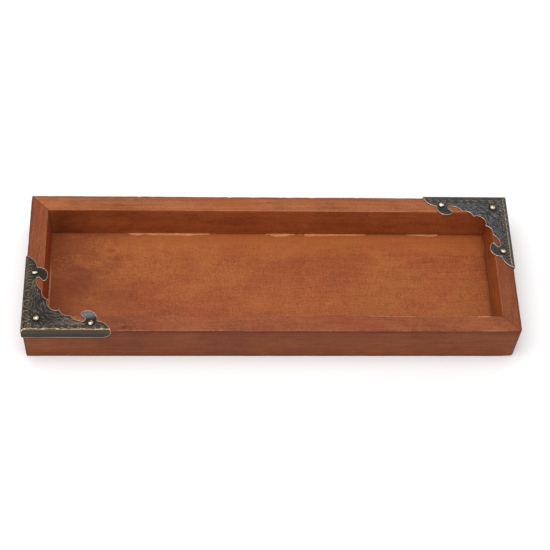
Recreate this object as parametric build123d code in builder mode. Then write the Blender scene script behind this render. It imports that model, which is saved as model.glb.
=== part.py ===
from build123d import *
import os
from math import asin, degrees

# Open wooden tray for a pair of eyeglasses, in millimetres.
# Four mitred rails with a rebate for a thin bottom panel, two ornamental
# corner plates on opposite corners, three round-head nails in each plate,
# and headless pins that hold the mitres and the panel.
# X runs along the tray, Y across it, Z up. The origin is the centre of the
# footprint, on the surface that the tray stands on.

# ---- driving dimensions -------------------------------------------------
LENGTH = 220.0  # outside, along X
WIDTH = 72.0  # outside, along Y
HEIGHT = 22.5  # rail height
RAIL = 8.0  # rail thickness
REBATE_WIDTH = 4.0  # how far the panel runs under each rail
FLOOR_TOP = 3.5  # top face of the panel, and depth of the rebate
PANEL_THICKNESS = 3.0
PANEL_GAP = 0.25  # play round the panel's edge
R_TOP_OUTER = 0.8  # sanded arrises
R_TOP_INNER = 0.4
R_BOTTOM = 0.5
R_VERTICAL = {"front_left": 0.7, "front_right": 1.6, "back_right": 1.0, "back_left": 0.7}
MITRE_LINE = 0.22  # width of the fine V line along each mitre, on the top face

SHEET = 0.6  # corner plate thickness
ARM = 38.6  # arm length of a corner plate, from the wooden corner
SKIRT_BOTTOM = -4.9  # lower edge of the plate's skirt, measured from the rail's top face
SKIRT_END_R = 4.2  # rounding at the far end of the skirt
SKIRT_NEAR_R = 0.9  # rounding at the seam end of the skirt
BEND_R = 1.1  # outside radius of the bend
SEAM = 0.14  # open seam between the two skirts

NAIL_HEAD_R = 1.35
NAIL_HEAD_H = 0.95
NAIL_RIM = 0.12  # straight edge under the dome
NAIL_SHANK_R = 0.55
NAIL_LENGTH = 8.6  # under the head
NAIL_TIP = 1.2
# where the nails are, along the arms of each plate, as they were driven by hand
NAIL_AT = {
    "front_left": [(6.0, 6.3), (29.8, 3.9), (4.0, 29.7)],
    "back_right": [(6.2, 5.5), (30.2, 4.2), (4.0, 29.8)],
}

PIN_R = 0.4  # headless pins
MITRE_PIN_LENGTH = 15.0
MITRE_PIN_Z = (8.0, 14.5)
MITRE_PIN_INSET = 4.0  # from the long face, the middle of the rail
PANEL_PIN_LENGTH = 10.0
PANEL_PIN_INSET = 6.0  # from the outside face, the middle of the rebate
PANEL_PIN_X = (-84.0, -28.0, 28.0, 84.0)

os.makedirs("parts", exist_ok=True)

HX, HY = LENGTH / 2, WIDTH / 2
FAR = 5.0  # how far cutting shapes reach past the tray


# ---- rails --------------------------------------------------------------
# The frame is shaped as one ring, with its rebate and its sanded arrises,
# and each rail is the piece of it between two mitres.
def near(value, target, tolerance=0.02):
    return abs(value - target) < tolerance


with BuildPart() as ring:
    with BuildSketch(Plane.XY) as outline:
        Rectangle(LENGTH, WIDTH)
        for name, radius in R_VERTICAL.items():
            sx = -1 if "left" in name else 1
            sy = -1 if "front" in name else 1
            corner = [
                v
                for v in outline.vertices()
                if near(v.X, sx * HX) and near(v.Y, sy * HY)
            ]
            fillet(corner, radius)
    extrude(amount=HEIGHT)
    with BuildSketch(Plane.XY) as opening:
        Rectangle(LENGTH - 2 * RAIL, WIDTH - 2 * RAIL)
    extrude(amount=HEIGHT, mode=Mode.SUBTRACT)
    with BuildSketch(Plane.XY) as rebate:
        Rectangle(
            LENGTH - 2 * (RAIL - REBATE_WIDTH), WIDTH - 2 * (RAIL - REBATE_WIDTH)
        )
    extrude(amount=FLOOR_TOP, mode=Mode.SUBTRACT)

    def outer(edge):
        c = edge.center()
        return max(abs(c.X) / HX, abs(c.Y) / HY) > 0.97

    fillet([e for e in ring.edges().group_by(Axis.Z)[-1] if outer(e)], R_TOP_OUTER)
    top_inner = [
        e
        for e in ring.faces().sort_by(Axis.Z)[-1].inner_wires()[0].edges()
    ]
    fillet(top_inner, R_TOP_INNER)
    fillet([e for e in ring.edges().group_by(Axis.Z)[0] if outer(e)], R_BOTTOM)


def corner_plane(name):
    """A plane on the rails' top face at one corner, with its X along the long arm and its Y inward."""
    if name == "front_left":
        return Plane(origin=(-HX, -HY, HEIGHT), x_dir=(1, 0, 0), z_dir=(0, 0, 1))
    return Plane(origin=(HX, HY, HEIGHT), x_dir=(-1, 0, 0), z_dir=(0, 0, 1))


def nail_places(name):
    plane = corner_plane(name)
    return [plane.from_local_coords(Vector(u, v, 0)) for u, v in NAIL_AT[name]]


NAIL_POINTS = nail_places("front_left") + nail_places("back_right")
NAIL_HOLE = NAIL_LENGTH - SHEET + 0.4  # a little deeper than the nail's tip

MITRE_PINS = {
    # rail end: (x of the end rail's outside face, direction in, y of the pins)
    "front_left": (-HX, 1, -HY + MITRE_PIN_INSET),
    "front_right": (HX, -1, -HY + MITRE_PIN_INSET),
    "back_left": (-HX, 1, HY - MITRE_PIN_INSET),
    "back_right": (HX, -1, HY - MITRE_PIN_INSET),
}
PANEL_PINS = {}
for number, pin_x in enumerate(PANEL_PIN_X, 1):
    PANEL_PINS[f"front_{number}"] = (pin_x, -HY + PANEL_PIN_INSET)
    PANEL_PINS[f"back_{number}"] = (pin_x, HY - PANEL_PIN_INSET)
PANEL_PINS["left"] = (-HX + PANEL_PIN_INSET, 0.0)
PANEL_PINS["right"] = (HX - PANEL_PIN_INSET, 0.0)
PANEL_UNDERSIDE = FLOOR_TOP - PANEL_THICKNESS
PIN_TOP = PANEL_UNDERSIDE + PANEL_PIN_LENGTH

RAIL_PLANS = {
    "front_rail": [
        (-HX - FAR, -HY - FAR),
        (HX + FAR, -HY - FAR),
        (HX - HY, 0),
        (-HX + HY, 0),
    ],
    "back_rail": [
        (-HX - FAR, HY + FAR),
        (-HX + HY, 0),
        (HX - HY, 0),
        (HX + FAR, HY + FAR),
    ],
    "left_rail": [(-HX - FAR, -HY - FAR), (-HX + HY, 0), (-HX - FAR, HY + FAR)],
    "right_rail": [(HX + FAR, -HY - FAR), (HX + FAR, HY + FAR), (HX - HY, 0)],
}


def make_rail(name):
    with BuildPart() as rail:
        add(ring.part)
        with BuildSketch(Plane.XY.offset(-FAR)):
            with BuildLine():
                Polyline(*RAIL_PLANS[name], close=True)
            make_face()
        extrude(amount=HEIGHT + 2 * FAR, mode=Mode.INTERSECT)
        # The fine V line along each mitre, where the two rails' arrises meet.
        for sx in (-1, 1):
            for sy in (-1, 1):
                line = Plane(
                    origin=(sx * (HX + 1), sy * (HY + 1), HEIGHT),
                    x_dir=(sx, -sy, 0),
                    z_dir=(-sx, -sy, 0),
                )
                with BuildSketch(line):
                    Rectangle(MITRE_LINE / 2**0.5, MITRE_LINE / 2**0.5, rotation=45)
                extrude(amount=(RAIL + 3) * 2**0.5, mode=Mode.SUBTRACT)
        # Holes that the corner plates' nails make.
        for point in NAIL_POINTS:
            with Locations(Location(point)):
                Hole(radius=NAIL_SHANK_R, depth=NAIL_HOLE)
        # Holes that the mitre pins make, from the end rails' outside faces.
        for x, into, y in MITRE_PINS.values():
            for z in MITRE_PIN_Z:
                with Locations(Plane(origin=(x, y, z), z_dir=(-into, 0, 0))):
                    Hole(radius=PIN_R, depth=MITRE_PIN_LENGTH)
        # Holes that the panel pins make, from the rebate upward.
        for x, y in PANEL_PINS.values():
            with Locations(Plane(origin=(x, y, FLOOR_TOP), z_dir=(0, 0, -1))):
                Hole(radius=PIN_R, depth=PIN_TOP - FLOOR_TOP)
    return rail


front_rail = make_rail("front_rail")
front_rail.part.label = "front_rail"
export_step(front_rail.part, "parts/front_rail.step")

back_rail = make_rail("back_rail")
back_rail.part.label = "back_rail"
export_step(back_rail.part, "parts/back_rail.step")

left_rail = make_rail("left_rail")
left_rail.part.label = "left_rail"
export_step(left_rail.part, "parts/left_rail.step")

right_rail = make_rail("right_rail")
right_rail.part.label = "right_rail"
export_step(right_rail.part, "parts/right_rail.step")

# ---- bottom panel -------------------------------------------------------
with BuildPart() as bottom_panel:
    with BuildSketch(Plane.XY.offset(PANEL_UNDERSIDE)):
        Rectangle(
            LENGTH - 2 * (RAIL - REBATE_WIDTH + PANEL_GAP),
            WIDTH - 2 * (RAIL - REBATE_WIDTH + PANEL_GAP),
        )
    extrude(amount=PANEL_THICKNESS)
    chamfer(bottom_panel.edges().group_by(Axis.Z)[0], 0.2)
    with Locations(*[(x, y, FLOOR_TOP) for x, y in PANEL_PINS.values()]):
        Hole(radius=PIN_R, depth=PANEL_THICKNESS + 1)
bottom_panel.part.label = "bottom_panel"
export_step(bottom_panel.part, "parts/bottom_panel.step")


# ---- corner plates ------------------------------------------------------
# Half of the outline, in the corner's own coordinates: u along an arm from
# the wooden corner, v inward. The other half is its mirror on the diagonal.
TIP = (ARM, 0.0)
NOTCH = (32.65, 5.05)  # where the arm's ogee meets the hook
HOOK_TIP_OUT = (25.602, 8.963)
HOOK_TIP_IN = (25.612, 7.479)
POCKET_OUT = (26.946, 6.428)  # the pocket's round end lies between these two
POCKET_IN = (26.453, 4.911)
CUSP_1 = (20.75, 7.75)
CUSP_2 = (15.85, 10.75)
CENTRE_BITE = (11.6, 11.6)


def make_corner_plate(name):
    top = corner_plane(name)
    skirt = Plane(origin=top.origin, x_dir=top.x_dir, z_dir=-top.y_dir)
    diagonal = Plane(origin=top.origin, x_dir=top.x_dir + top.y_dir, z_dir=top.x_dir - top.y_dir)
    with BuildPart() as plate:
        with BuildSketch(top):
            with BuildLine():
                Line((-SHEET, -SHEET), (ARM, -SHEET))
                Line((ARM, -SHEET), TIP)
                ThreePointArc(TIP, (37.0, 2.75), NOTCH)
                ThreePointArc(NOTCH, (29.85, 9.66), HOOK_TIP_OUT)
                ThreePointArc(HOOK_TIP_OUT, (25.25, 8.22), HOOK_TIP_IN)
                Line(HOOK_TIP_IN, POCKET_OUT)
                ThreePointArc(POCKET_OUT, (27.263, 5.65), POCKET_IN)
                ThreePointArc(POCKET_IN, (24.0, 5.28), CUSP_1)
                ThreePointArc(CUSP_1, (17.65, 8.25), CUSP_2)
                ThreePointArc(CUSP_2, (13.45, 10.45), CENTRE_BITE)
                Line(CENTRE_BITE, (-SHEET, -SHEET))
            make_face()
        extrude(amount=SHEET)
        # The skirt that folds down over the rail's outside face. The sketch's
        # X runs along the arm and its Y up.
        with BuildSketch(skirt) as face:
            with Locations((-SHEET, SKIRT_BOTTOM)):
                Rectangle(
                    ARM + SHEET,
                    SHEET - SKIRT_BOTTOM,
                    align=(Align.MIN, Align.MIN),
                )
            fillet(face.vertices().group_by(Axis.Y)[0].sort_by(Axis.X)[-1], SKIRT_END_R)
            fillet(face.vertices().group_by(Axis.Y)[0].sort_by(Axis.X)[0], SKIRT_NEAR_R)
        extrude(amount=SHEET)
        # Keep this arm's side of the diagonal, and round the bend.
        split(bisect_by=diagonal, keep=Keep.TOP)
        bend = [
            e
            for e in plate.edges().filter_by(lambda e: near(e.length, ARM + SHEET, 1.0))
            if near(e.center().Z, HEIGHT + SHEET, 0.01)
            and near(abs(top.to_local_coords(e.center()).Y), SHEET, 0.01)
        ]
        fillet(bend, BEND_R)
        mirror(about=diagonal)
        # The open seam between the two skirts, below the bend.
        with BuildSketch(top.offset(SKIRT_BOTTOM - 1)):
            Rectangle(4.0, SEAM, rotation=45)
        extrude(amount=-SKIRT_BOTTOM + 0.6, mode=Mode.SUBTRACT)
        for point in nail_places(name):
            with Locations(Location(point + Vector(0, 0, SHEET))):
                Hole(radius=NAIL_SHANK_R, depth=SHEET * 2)
    return plate


corner_plate_front_left = make_corner_plate("front_left")
corner_plate_front_left.part.label = "corner_plate_front_left"
export_step(corner_plate_front_left.part, "parts/corner_plate_front_left.step")

corner_plate_back_right = make_corner_plate("back_right")
corner_plate_back_right.part.label = "corner_plate_back_right"
export_step(corner_plate_back_right.part, "parts/corner_plate_back_right.step")


# ---- round-head nails ---------------------------------------------------
NAIL_DOME_R = (NAIL_HEAD_R**2 + (NAIL_HEAD_H - NAIL_RIM) ** 2) / (
    2 * (NAIL_HEAD_H - NAIL_RIM)
)
NAIL_DOME_ANGLE = degrees(asin(NAIL_HEAD_R / NAIL_DOME_R))


def make_nail(point):
    seat = Plane(origin=point + Vector(0, 0, SHEET), x_dir=(1, 0, 0), z_dir=(0, -1, 0))
    with BuildPart() as nail:
        with BuildSketch(seat):
            with BuildLine():
                Line((0, NAIL_HEAD_H), (0, -NAIL_LENGTH))
                Line((0, -NAIL_LENGTH), (NAIL_SHANK_R, -NAIL_LENGTH + NAIL_TIP))
                Line((NAIL_SHANK_R, -NAIL_LENGTH + NAIL_TIP), (NAIL_SHANK_R, 0))
                Line((NAIL_SHANK_R, 0), (NAIL_HEAD_R, 0))
                Line((NAIL_HEAD_R, 0), (NAIL_HEAD_R, NAIL_RIM))
                CenterArc(
                    (0, NAIL_HEAD_H - NAIL_DOME_R),
                    NAIL_DOME_R,
                    90 - NAIL_DOME_ANGLE,
                    NAIL_DOME_ANGLE,
                )
            make_face()
        revolve(axis=Axis(seat.origin, (0, 0, 1)))
    return nail


NAIL_NAMES = ["corner", "long_arm", "short_arm"]
for corner in ("front_left", "back_right"):
    for which, point in zip(NAIL_NAMES, nail_places(corner)):
        nail = make_nail(point)
        nail.part.label = f"nail_{corner}_{which}"
        export_step(nail.part, f"parts/nail_{corner}_{which}.step")


# ---- headless pins ------------------------------------------------------
for corner, (x, into, y) in MITRE_PINS.items():
    for level, z in zip(("lower", "upper"), MITRE_PIN_Z):
        with BuildPart() as mitre_pin:
            with BuildSketch(Plane(origin=(x, y, z), z_dir=(into, 0, 0))):
                Circle(PIN_R)
            extrude(amount=MITRE_PIN_LENGTH)
            chamfer(mitre_pin.edges().sort_by(Axis.X)[-1 if into > 0 else 0], 0.2)
        mitre_pin.part.label = f"mitre_pin_{corner}_{level}"
        export_step(mitre_pin.part, f"parts/mitre_pin_{corner}_{level}.step")

for pin_name, (x, y) in PANEL_PINS.items():
    with BuildPart() as panel_pin:
        with BuildSketch(Plane.XY.offset(PANEL_UNDERSIDE)):
            with Locations((x, y)):
                Circle(PIN_R)
        extrude(amount=PANEL_PIN_LENGTH)
        chamfer(panel_pin.edges().group_by(Axis.Z)[-1], 0.2)
    panel_pin.part.label = f"panel_pin_{pin_name}"
    export_step(panel_pin.part, f"parts/panel_pin_{pin_name}.step")
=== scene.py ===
import math

import bmesh
import bpy
import numpy as np
from mathutils import Matrix, Vector
from mathutils.geometry import delaunay_2d_cdt


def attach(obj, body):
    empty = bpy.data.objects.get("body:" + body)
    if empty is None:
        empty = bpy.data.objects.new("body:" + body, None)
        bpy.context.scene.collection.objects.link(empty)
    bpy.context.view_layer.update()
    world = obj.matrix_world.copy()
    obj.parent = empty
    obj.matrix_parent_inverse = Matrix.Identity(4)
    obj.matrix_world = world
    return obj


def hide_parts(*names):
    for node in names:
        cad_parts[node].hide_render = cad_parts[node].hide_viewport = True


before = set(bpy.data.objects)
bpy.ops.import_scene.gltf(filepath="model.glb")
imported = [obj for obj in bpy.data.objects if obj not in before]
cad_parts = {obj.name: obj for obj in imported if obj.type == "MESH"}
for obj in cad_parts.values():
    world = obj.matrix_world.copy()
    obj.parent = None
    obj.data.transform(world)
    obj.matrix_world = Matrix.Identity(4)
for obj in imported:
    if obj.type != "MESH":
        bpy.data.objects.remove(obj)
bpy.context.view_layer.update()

# Everything below is worked out in millimetres, in the frame of the tray, and
# written to the meshes in metres.
MM = 0.001
LENGTH, WIDTH, HEIGHT = 220.0, 72.0, 22.5
HX, HY = LENGTH / 2, WIDTH / 2
RAIL, REBATE, FLOOR = 8.0, 4.0, 3.5
SHEET, ARM = 0.6, 38.6


# ---------------------------------------------------------------- noise
def lattice(ix, iy, iz, seed):
    h = (ix * 374761393 + iy * 668265263 + iz * 2147483629 + seed * 1274126177) & 0xFFFFFFFF
    h = ((h ^ (h >> 13)) * 1274126177) & 0xFFFFFFFF
    return ((h ^ (h >> 16)) & 0xFFFFFF) / float(0xFFFFFF)


def vnoise(p, seed=0):
    """Smooth value noise from -1 to 1 at points p (N, 3)."""
    p = np.asarray(p, float)
    base = np.floor(p).astype(np.int64)
    f = p - base
    f = f * f * (3 - 2 * f)
    base = base + 4096
    out = np.zeros(len(p))
    for dx in (0, 1):
        for dy in (0, 1):
            for dz in (0, 1):
                weight = (
                    (f[:, 0] if dx else 1 - f[:, 0])
                    * (f[:, 1] if dy else 1 - f[:, 1])
                    * (f[:, 2] if dz else 1 - f[:, 2])
                )
                out += weight * lattice(base[:, 0] + dx, base[:, 1] + dy, base[:, 2] + dz, seed)
    return out * 2 - 1


def fbm(p, octaves=3, seed=0):
    total, amp, norm = 0.0, 1.0, 0.0
    p = np.asarray(p, float)
    for k in range(octaves):
        total = total + amp * vnoise(p * 2**k, seed + 17 * k)
        norm += amp
        amp *= 0.5
    return total / norm


def line3(s, y=0.0, z=0.0):
    s = np.asarray(s, float).ravel()
    return np.stack([s, np.full_like(s, y), np.full_like(s, z)], 1)


def smooth(x, a, b):
    t = np.clip((np.asarray(x, float) - a) / (b - a), 0, 1)
    return t * t * (3 - 2 * t)


# ---------------------------------------------------------------- meshes
def make_object(name, verts_mm, faces, material, attributes=None, angle=35.0, replaces=()):
    mesh = bpy.data.meshes.new(name)
    mesh.from_pydata([tuple(v) for v in np.asarray(verts_mm, float) * MM], [], faces)
    mesh.update()
    for key, values in (attributes or {}).items():
        layer = mesh.attributes.new(key, "FLOAT", "POINT")
        layer.data.foreach_set("value", np.asarray(values, np.float32).ravel())
    bm = bmesh.new()
    bm.from_mesh(mesh)
    bmesh.ops.remove_doubles(bm, verts=bm.verts, dist=2e-7)
    bmesh.ops.dissolve_degenerate(bm, edges=bm.edges, dist=1e-8)
    bmesh.ops.recalc_face_normals(bm, faces=bm.faces)
    bm.to_mesh(mesh)
    bm.free()
    mesh.shade_smooth()
    mesh.set_sharp_from_angle(angle=math.radians(angle))
    mesh.materials.append(material)
    obj = bpy.data.objects.new(name, mesh)
    bpy.context.scene.collection.objects.link(obj)
    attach(obj, "root")
    if replaces:
        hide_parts(*replaces)
    return obj


# ---------------------------------------------------------------- node helper
class Nodes:
    """Short names for making shader nodes."""

    def __init__(self, name):
        self.mat = bpy.data.materials.new(name)
        self.mat.use_nodes = True
        self.tree = self.mat.node_tree
        self.tree.nodes.clear()
        self.out = self.tree.nodes.new("ShaderNodeOutputMaterial")
        self.bsdf = self.tree.nodes.new("ShaderNodeBsdfPrincipled")
        self.tree.links.new(self.bsdf.outputs[0], self.out.inputs["Surface"])

    def put(self, socket, value):
        if isinstance(value, bpy.types.NodeSocket):
            self.tree.links.new(value, socket)
        elif isinstance(value, (tuple, list)) and len(value) == 3 and socket.type == "RGBA":
            socket.default_value = (*value, 1.0)
        else:
            socket.default_value = value

    def node(self, kind, **props):
        n = self.tree.nodes.new(kind)
        for key, value in props.items():
            setattr(n, key, value)
        return n

    def math(self, op, a, b=0.0, c=None, clamp=False):
        n = self.node("ShaderNodeMath", operation=op, use_clamp=clamp)
        self.put(n.inputs[0], a)
        self.put(n.inputs[1], b)
        if c is not None:
            self.put(n.inputs[2], c)
        return n.outputs[0]

    def vmath(self, op, a, b=(0.0, 0.0, 0.0), scale=None):
        n = self.node("ShaderNodeVectorMath", operation=op)
        self.put(n.inputs[0], a)
        self.put(n.inputs[1], b)
        if scale is not None:
            self.put(n.inputs["Scale"], scale)
        return n.outputs["Value"] if op in ("LENGTH", "DISTANCE", "DOT_PRODUCT") else n.outputs[0]

    def coords(self):
        return self.node("ShaderNodeTexCoord").outputs["Object"]

    def mapping(self, vector, scale=(1, 1, 1), rotation=(0, 0, 0), location=(0, 0, 0)):
        n = self.node("ShaderNodeMapping")
        self.put(n.inputs["Vector"], vector)
        n.inputs["Scale"].default_value = scale
        n.inputs["Rotation"].default_value = rotation
        n.inputs["Location"].default_value = location
        return n.outputs[0]

    def noise(self, vector, scale=1.0, detail=2.0, rough=0.5, distortion=0.0, out="Fac"):
        n = self.node("ShaderNodeTexNoise")
        self.put(n.inputs["Vector"], vector)
        n.inputs["Scale"].default_value = scale
        n.inputs["Detail"].default_value = detail
        n.inputs["Roughness"].default_value = rough
        n.inputs["Distortion"].default_value = distortion
        return n.outputs["Fac" if out == "Fac" else "Color"]

    def voronoi(self, vector, scale=1.0, feature="F1", randomness=1.0):
        n = self.node("ShaderNodeTexVoronoi", feature=feature)
        self.put(n.inputs["Vector"], vector)
        n.inputs["Scale"].default_value = scale
        n.inputs["Randomness"].default_value = randomness
        return n.outputs["Distance"]

    def attr(self, name):
        return self.node("ShaderNodeAttribute", attribute_name=name).outputs["Fac"]

    def step(self, value, low, high, to_low=0.0, to_high=1.0):
        n = self.node("ShaderNodeMapRange", interpolation_type="SMOOTHSTEP")
        self.put(n.inputs["Value"], value)
        self.put(n.inputs["From Min"], low)
        self.put(n.inputs["From Max"], high)
        self.put(n.inputs["To Min"], to_low)
        self.put(n.inputs["To Max"], to_high)
        return n.outputs[0]

    def linear(self, value, low, high, to_low=0.0, to_high=1.0):
        n = self.node("ShaderNodeMapRange", interpolation_type="LINEAR")
        self.put(n.inputs["Value"], value)
        self.put(n.inputs["From Min"], low)
        self.put(n.inputs["From Max"], high)
        self.put(n.inputs["To Min"], to_low)
        self.put(n.inputs["To Max"], to_high)
        return n.outputs[0]

    def mix(self, fac, a, b, blend="MIX"):
        n = self.node("ShaderNodeMix", data_type="RGBA", blend_type=blend)
        self.put(n.inputs[0], fac)
        self.put(n.inputs[6], a)
        self.put(n.inputs[7], b)
        return n.outputs[2]

    def ramp(self, fac, stops, interpolation="LINEAR"):
        n = self.node("ShaderNodeValToRGB")
        n.color_ramp.interpolation = interpolation
        while len(n.color_ramp.elements) < len(stops):
            n.color_ramp.elements.new(0.5)
        for element, (place, colour) in zip(n.color_ramp.elements, stops):
            element.position = place
            element.color = (*colour, 1.0)
        self.put(n.inputs[0], fac)
        return n.outputs["Color"]

    def bump(self, height, strength, distance, normal=None):
        n = self.node("ShaderNodeBump")
        n.inputs["Strength"].default_value = strength
        n.inputs["Distance"].default_value = distance
        self.put(n.inputs["Height"], height)
        if normal is not None:
            self.put(n.inputs["Normal"], normal)
        return n.outputs[0]

    def set(self, **values):
        for key, value in values.items():
            self.put(self.bsdf.inputs[key.replace("_", " ")], value)


def srgb(r, g, b):
    """0 to 255 screen colour as a linear one."""
    def one(c):
        c = c / 255.0
        return c / 12.92 if c <= 0.04045 else ((c + 0.055) / 1.055) ** 2.4
    return (one(r), one(g), one(b))


def dim(colour, k):
    return tuple(c * k for c in colour)


# ---------------------------------------------------------------- materials
def wood_material(name, turn, shift, mid, inner_face_lighting, outer_face_lighting, ring_tilt=0.0):
    """Stained fine-grained timber. turn is the angle of the grain about Z. The tints are
    painted light and shade: how much lighter or darker the upright faces, inside and outside, are made against the top."""
    g = Nodes(name)
    p = g.mapping(g.coords(), scale=(1000, 1000, 1000), rotation=(0, 0, -turn), location=shift)
    # slow wander of the grain
    wander = g.noise(g.mapping(p, scale=(0.012, 0.05, 0.05)), 1.0, 2.0, 0.5, out="Color")
    wander = g.vmath("SCALE", g.vmath("SUBTRACT", wander, (0.5, 0.5, 0.5)), scale=7.0)
    wander = g.vmath("MULTIPLY", wander, (0.0, 1.0, 1.0))
    q = g.vmath("ADD", p, wander)
    # growth rings cut by the saw, as distance from a pith line beyond the board
    ring = g.vmath("LENGTH", g.mapping(q, scale=(0.0, 1.0, 1.0), location=(0, 31.0 + ring_tilt, -47.0)))
    ring = g.math("SINE", g.math("MULTIPLY", ring, 2.6))
    ring = g.linear(ring, -1.0, 1.0)
    ring = g.math("POWER", ring, 2.2)
    streak = g.noise(g.mapping(q, scale=(0.030, 1.3, 1.3)), 1.0, 4.0, 0.62)
    fibre = g.noise(g.mapping(q, scale=(0.30, 5.5, 5.5)), 1.0, 3.0, 0.6)
    speckle = g.noise(g.mapping(p, scale=(1.0, 2.2, 2.2)), 1.1, 3.0, 0.62)
    blotch = g.noise(p, 0.050, 3.0, 0.55, 0.4)
    cloud = g.noise(g.mapping(p, scale=(0.5, 1.0, 1.0)), 0.22, 3.0, 0.6, 0.3)
    pore = g.noise(g.mapping(q, scale=(0.55, 7.5, 7.5), location=(3, 9, 2)), 1.0, 1.0, 0.5)
    pore = g.step(pore, 0.29, 0.20)
    tone = g.math("MULTIPLY", g.math("SUBTRACT", streak, 0.5), 1.05)
    tone = g.math("MULTIPLY_ADD", g.math("SUBTRACT", fibre, 0.5), 1.00, tone)
    tone = g.math("MULTIPLY_ADD", g.math("SUBTRACT", speckle, 0.5), 1.60, tone)
    tone = g.math("MULTIPLY_ADD", g.math("SUBTRACT", blotch, 0.5), 0.80, tone)
    tone = g.math("MULTIPLY_ADD", g.math("SUBTRACT", cloud, 0.5), 0.60, tone)
    tone = g.math("MULTIPLY_ADD", g.math("SUBTRACT", ring, 0.3), -0.12, tone)
    tone = g.math("ADD", tone, 0.5, clamp=True)
    low = (mid[0] * 0.66, mid[1] * 0.58, mid[2] * 0.56)
    high = (mid[0] * 1.32, mid[1] * 1.42, mid[2] * 1.52)
    colour = g.ramp(tone, [(0.08, low), (0.5, mid), (0.92, high)])
    # the stain is redder in places
    red = g.noise(g.mapping(p, scale=(0.4, 1.0, 1.0), location=(21, 4, 8)), 0.09, 2.0, 0.5)
    colour = g.mix(g.step(red, 0.50, 0.70, 0.0, 0.45), colour, (mid[0] * 1.04, mid[1] * 0.78, mid[2] * 0.88))
    colour = g.mix(g.math("MULTIPLY", pore, 0.30), colour, dim(low, 0.55))
    # painted light and shade: the upright faces are tinted lighter or darker than the top for how light falls on them
    colour = g.mix(g.attr("inner"), colour, g.vmath("MULTIPLY", colour, inner_face_lighting))
    colour = g.mix(g.attr("outer"), colour, g.vmath("MULTIPLY", colour, outer_face_lighting))
    # a smear of thinned glue in the far left corner
    smear = g.noise(g.mapping(p, scale=(1.0, 1.0, 0.25)), 0.9, 4.0, 0.65, 0.8)
    smear = g.math("MULTIPLY", g.attr("smear"), g.step(smear, 0.38, 0.62, 0.15, 1.0))
    colour = g.mix(smear, colour, (0.36, 0.150, 0.058))
    # dark joints, stain along the arrises and at a knot, and painted shade under the plates' skirts, at the foot of the
    # outer faces and inside the back left corner
    dark_marks_and_shade = g.attr("dark")
    dark_marks_and_shade = g.math("MULTIPLY", dark_marks_and_shade, g.linear(cloud, 0.3, 0.7, 0.70, 1.15), clamp=True)
    colour = g.mix(dark_marks_and_shade, colour, (mid[0] * 0.20, mid[1] * 0.13, mid[2] * 0.13))
    colour = g.mix(g.attr("stain"), colour, g.vmath("MULTIPLY", colour, (0.52, 0.28, 0.16)))
    # arrises where the stain was rubbed through, and painted highlights along them
    worn_and_highlit = g.attr("wear_and_highlight")
    nibble = g.noise(g.mapping(p, scale=(0.6, 1.6, 1.6)), 1.3, 3.0, 0.65)
    worn_and_highlit = g.math("ADD", worn_and_highlit, g.math("MULTIPLY", g.math("SUBTRACT", nibble, 0.5), 0.75))
    faint = g.step(worn_and_highlit, 0.28, 0.66, 0.0, 0.62)
    strong = g.step(worn_and_highlit, 0.70, 1.00, 0.0, 0.85)
    colour = g.mix(faint, colour, (mid[0] * 1.75, mid[1] * 2.25, mid[2] * 2.9))
    colour = g.mix(strong, colour, srgb(222, 172, 138))
    g.set(
        Base_Color=colour,
        Roughness=g.linear(tone, 0.0, 1.0, 0.66, 0.54),
        Specular_IOR_Level=0.20,
    )
    height = g.math("MULTIPLY_ADD", fibre, 0.5, g.math("MULTIPLY", streak, 0.5))
    height = g.math("SUBTRACT", height, g.math("MULTIPLY", pore, 0.6))
    g.set(Normal=g.bump(height, 0.30, 0.0001))
    return g.mat


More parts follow.
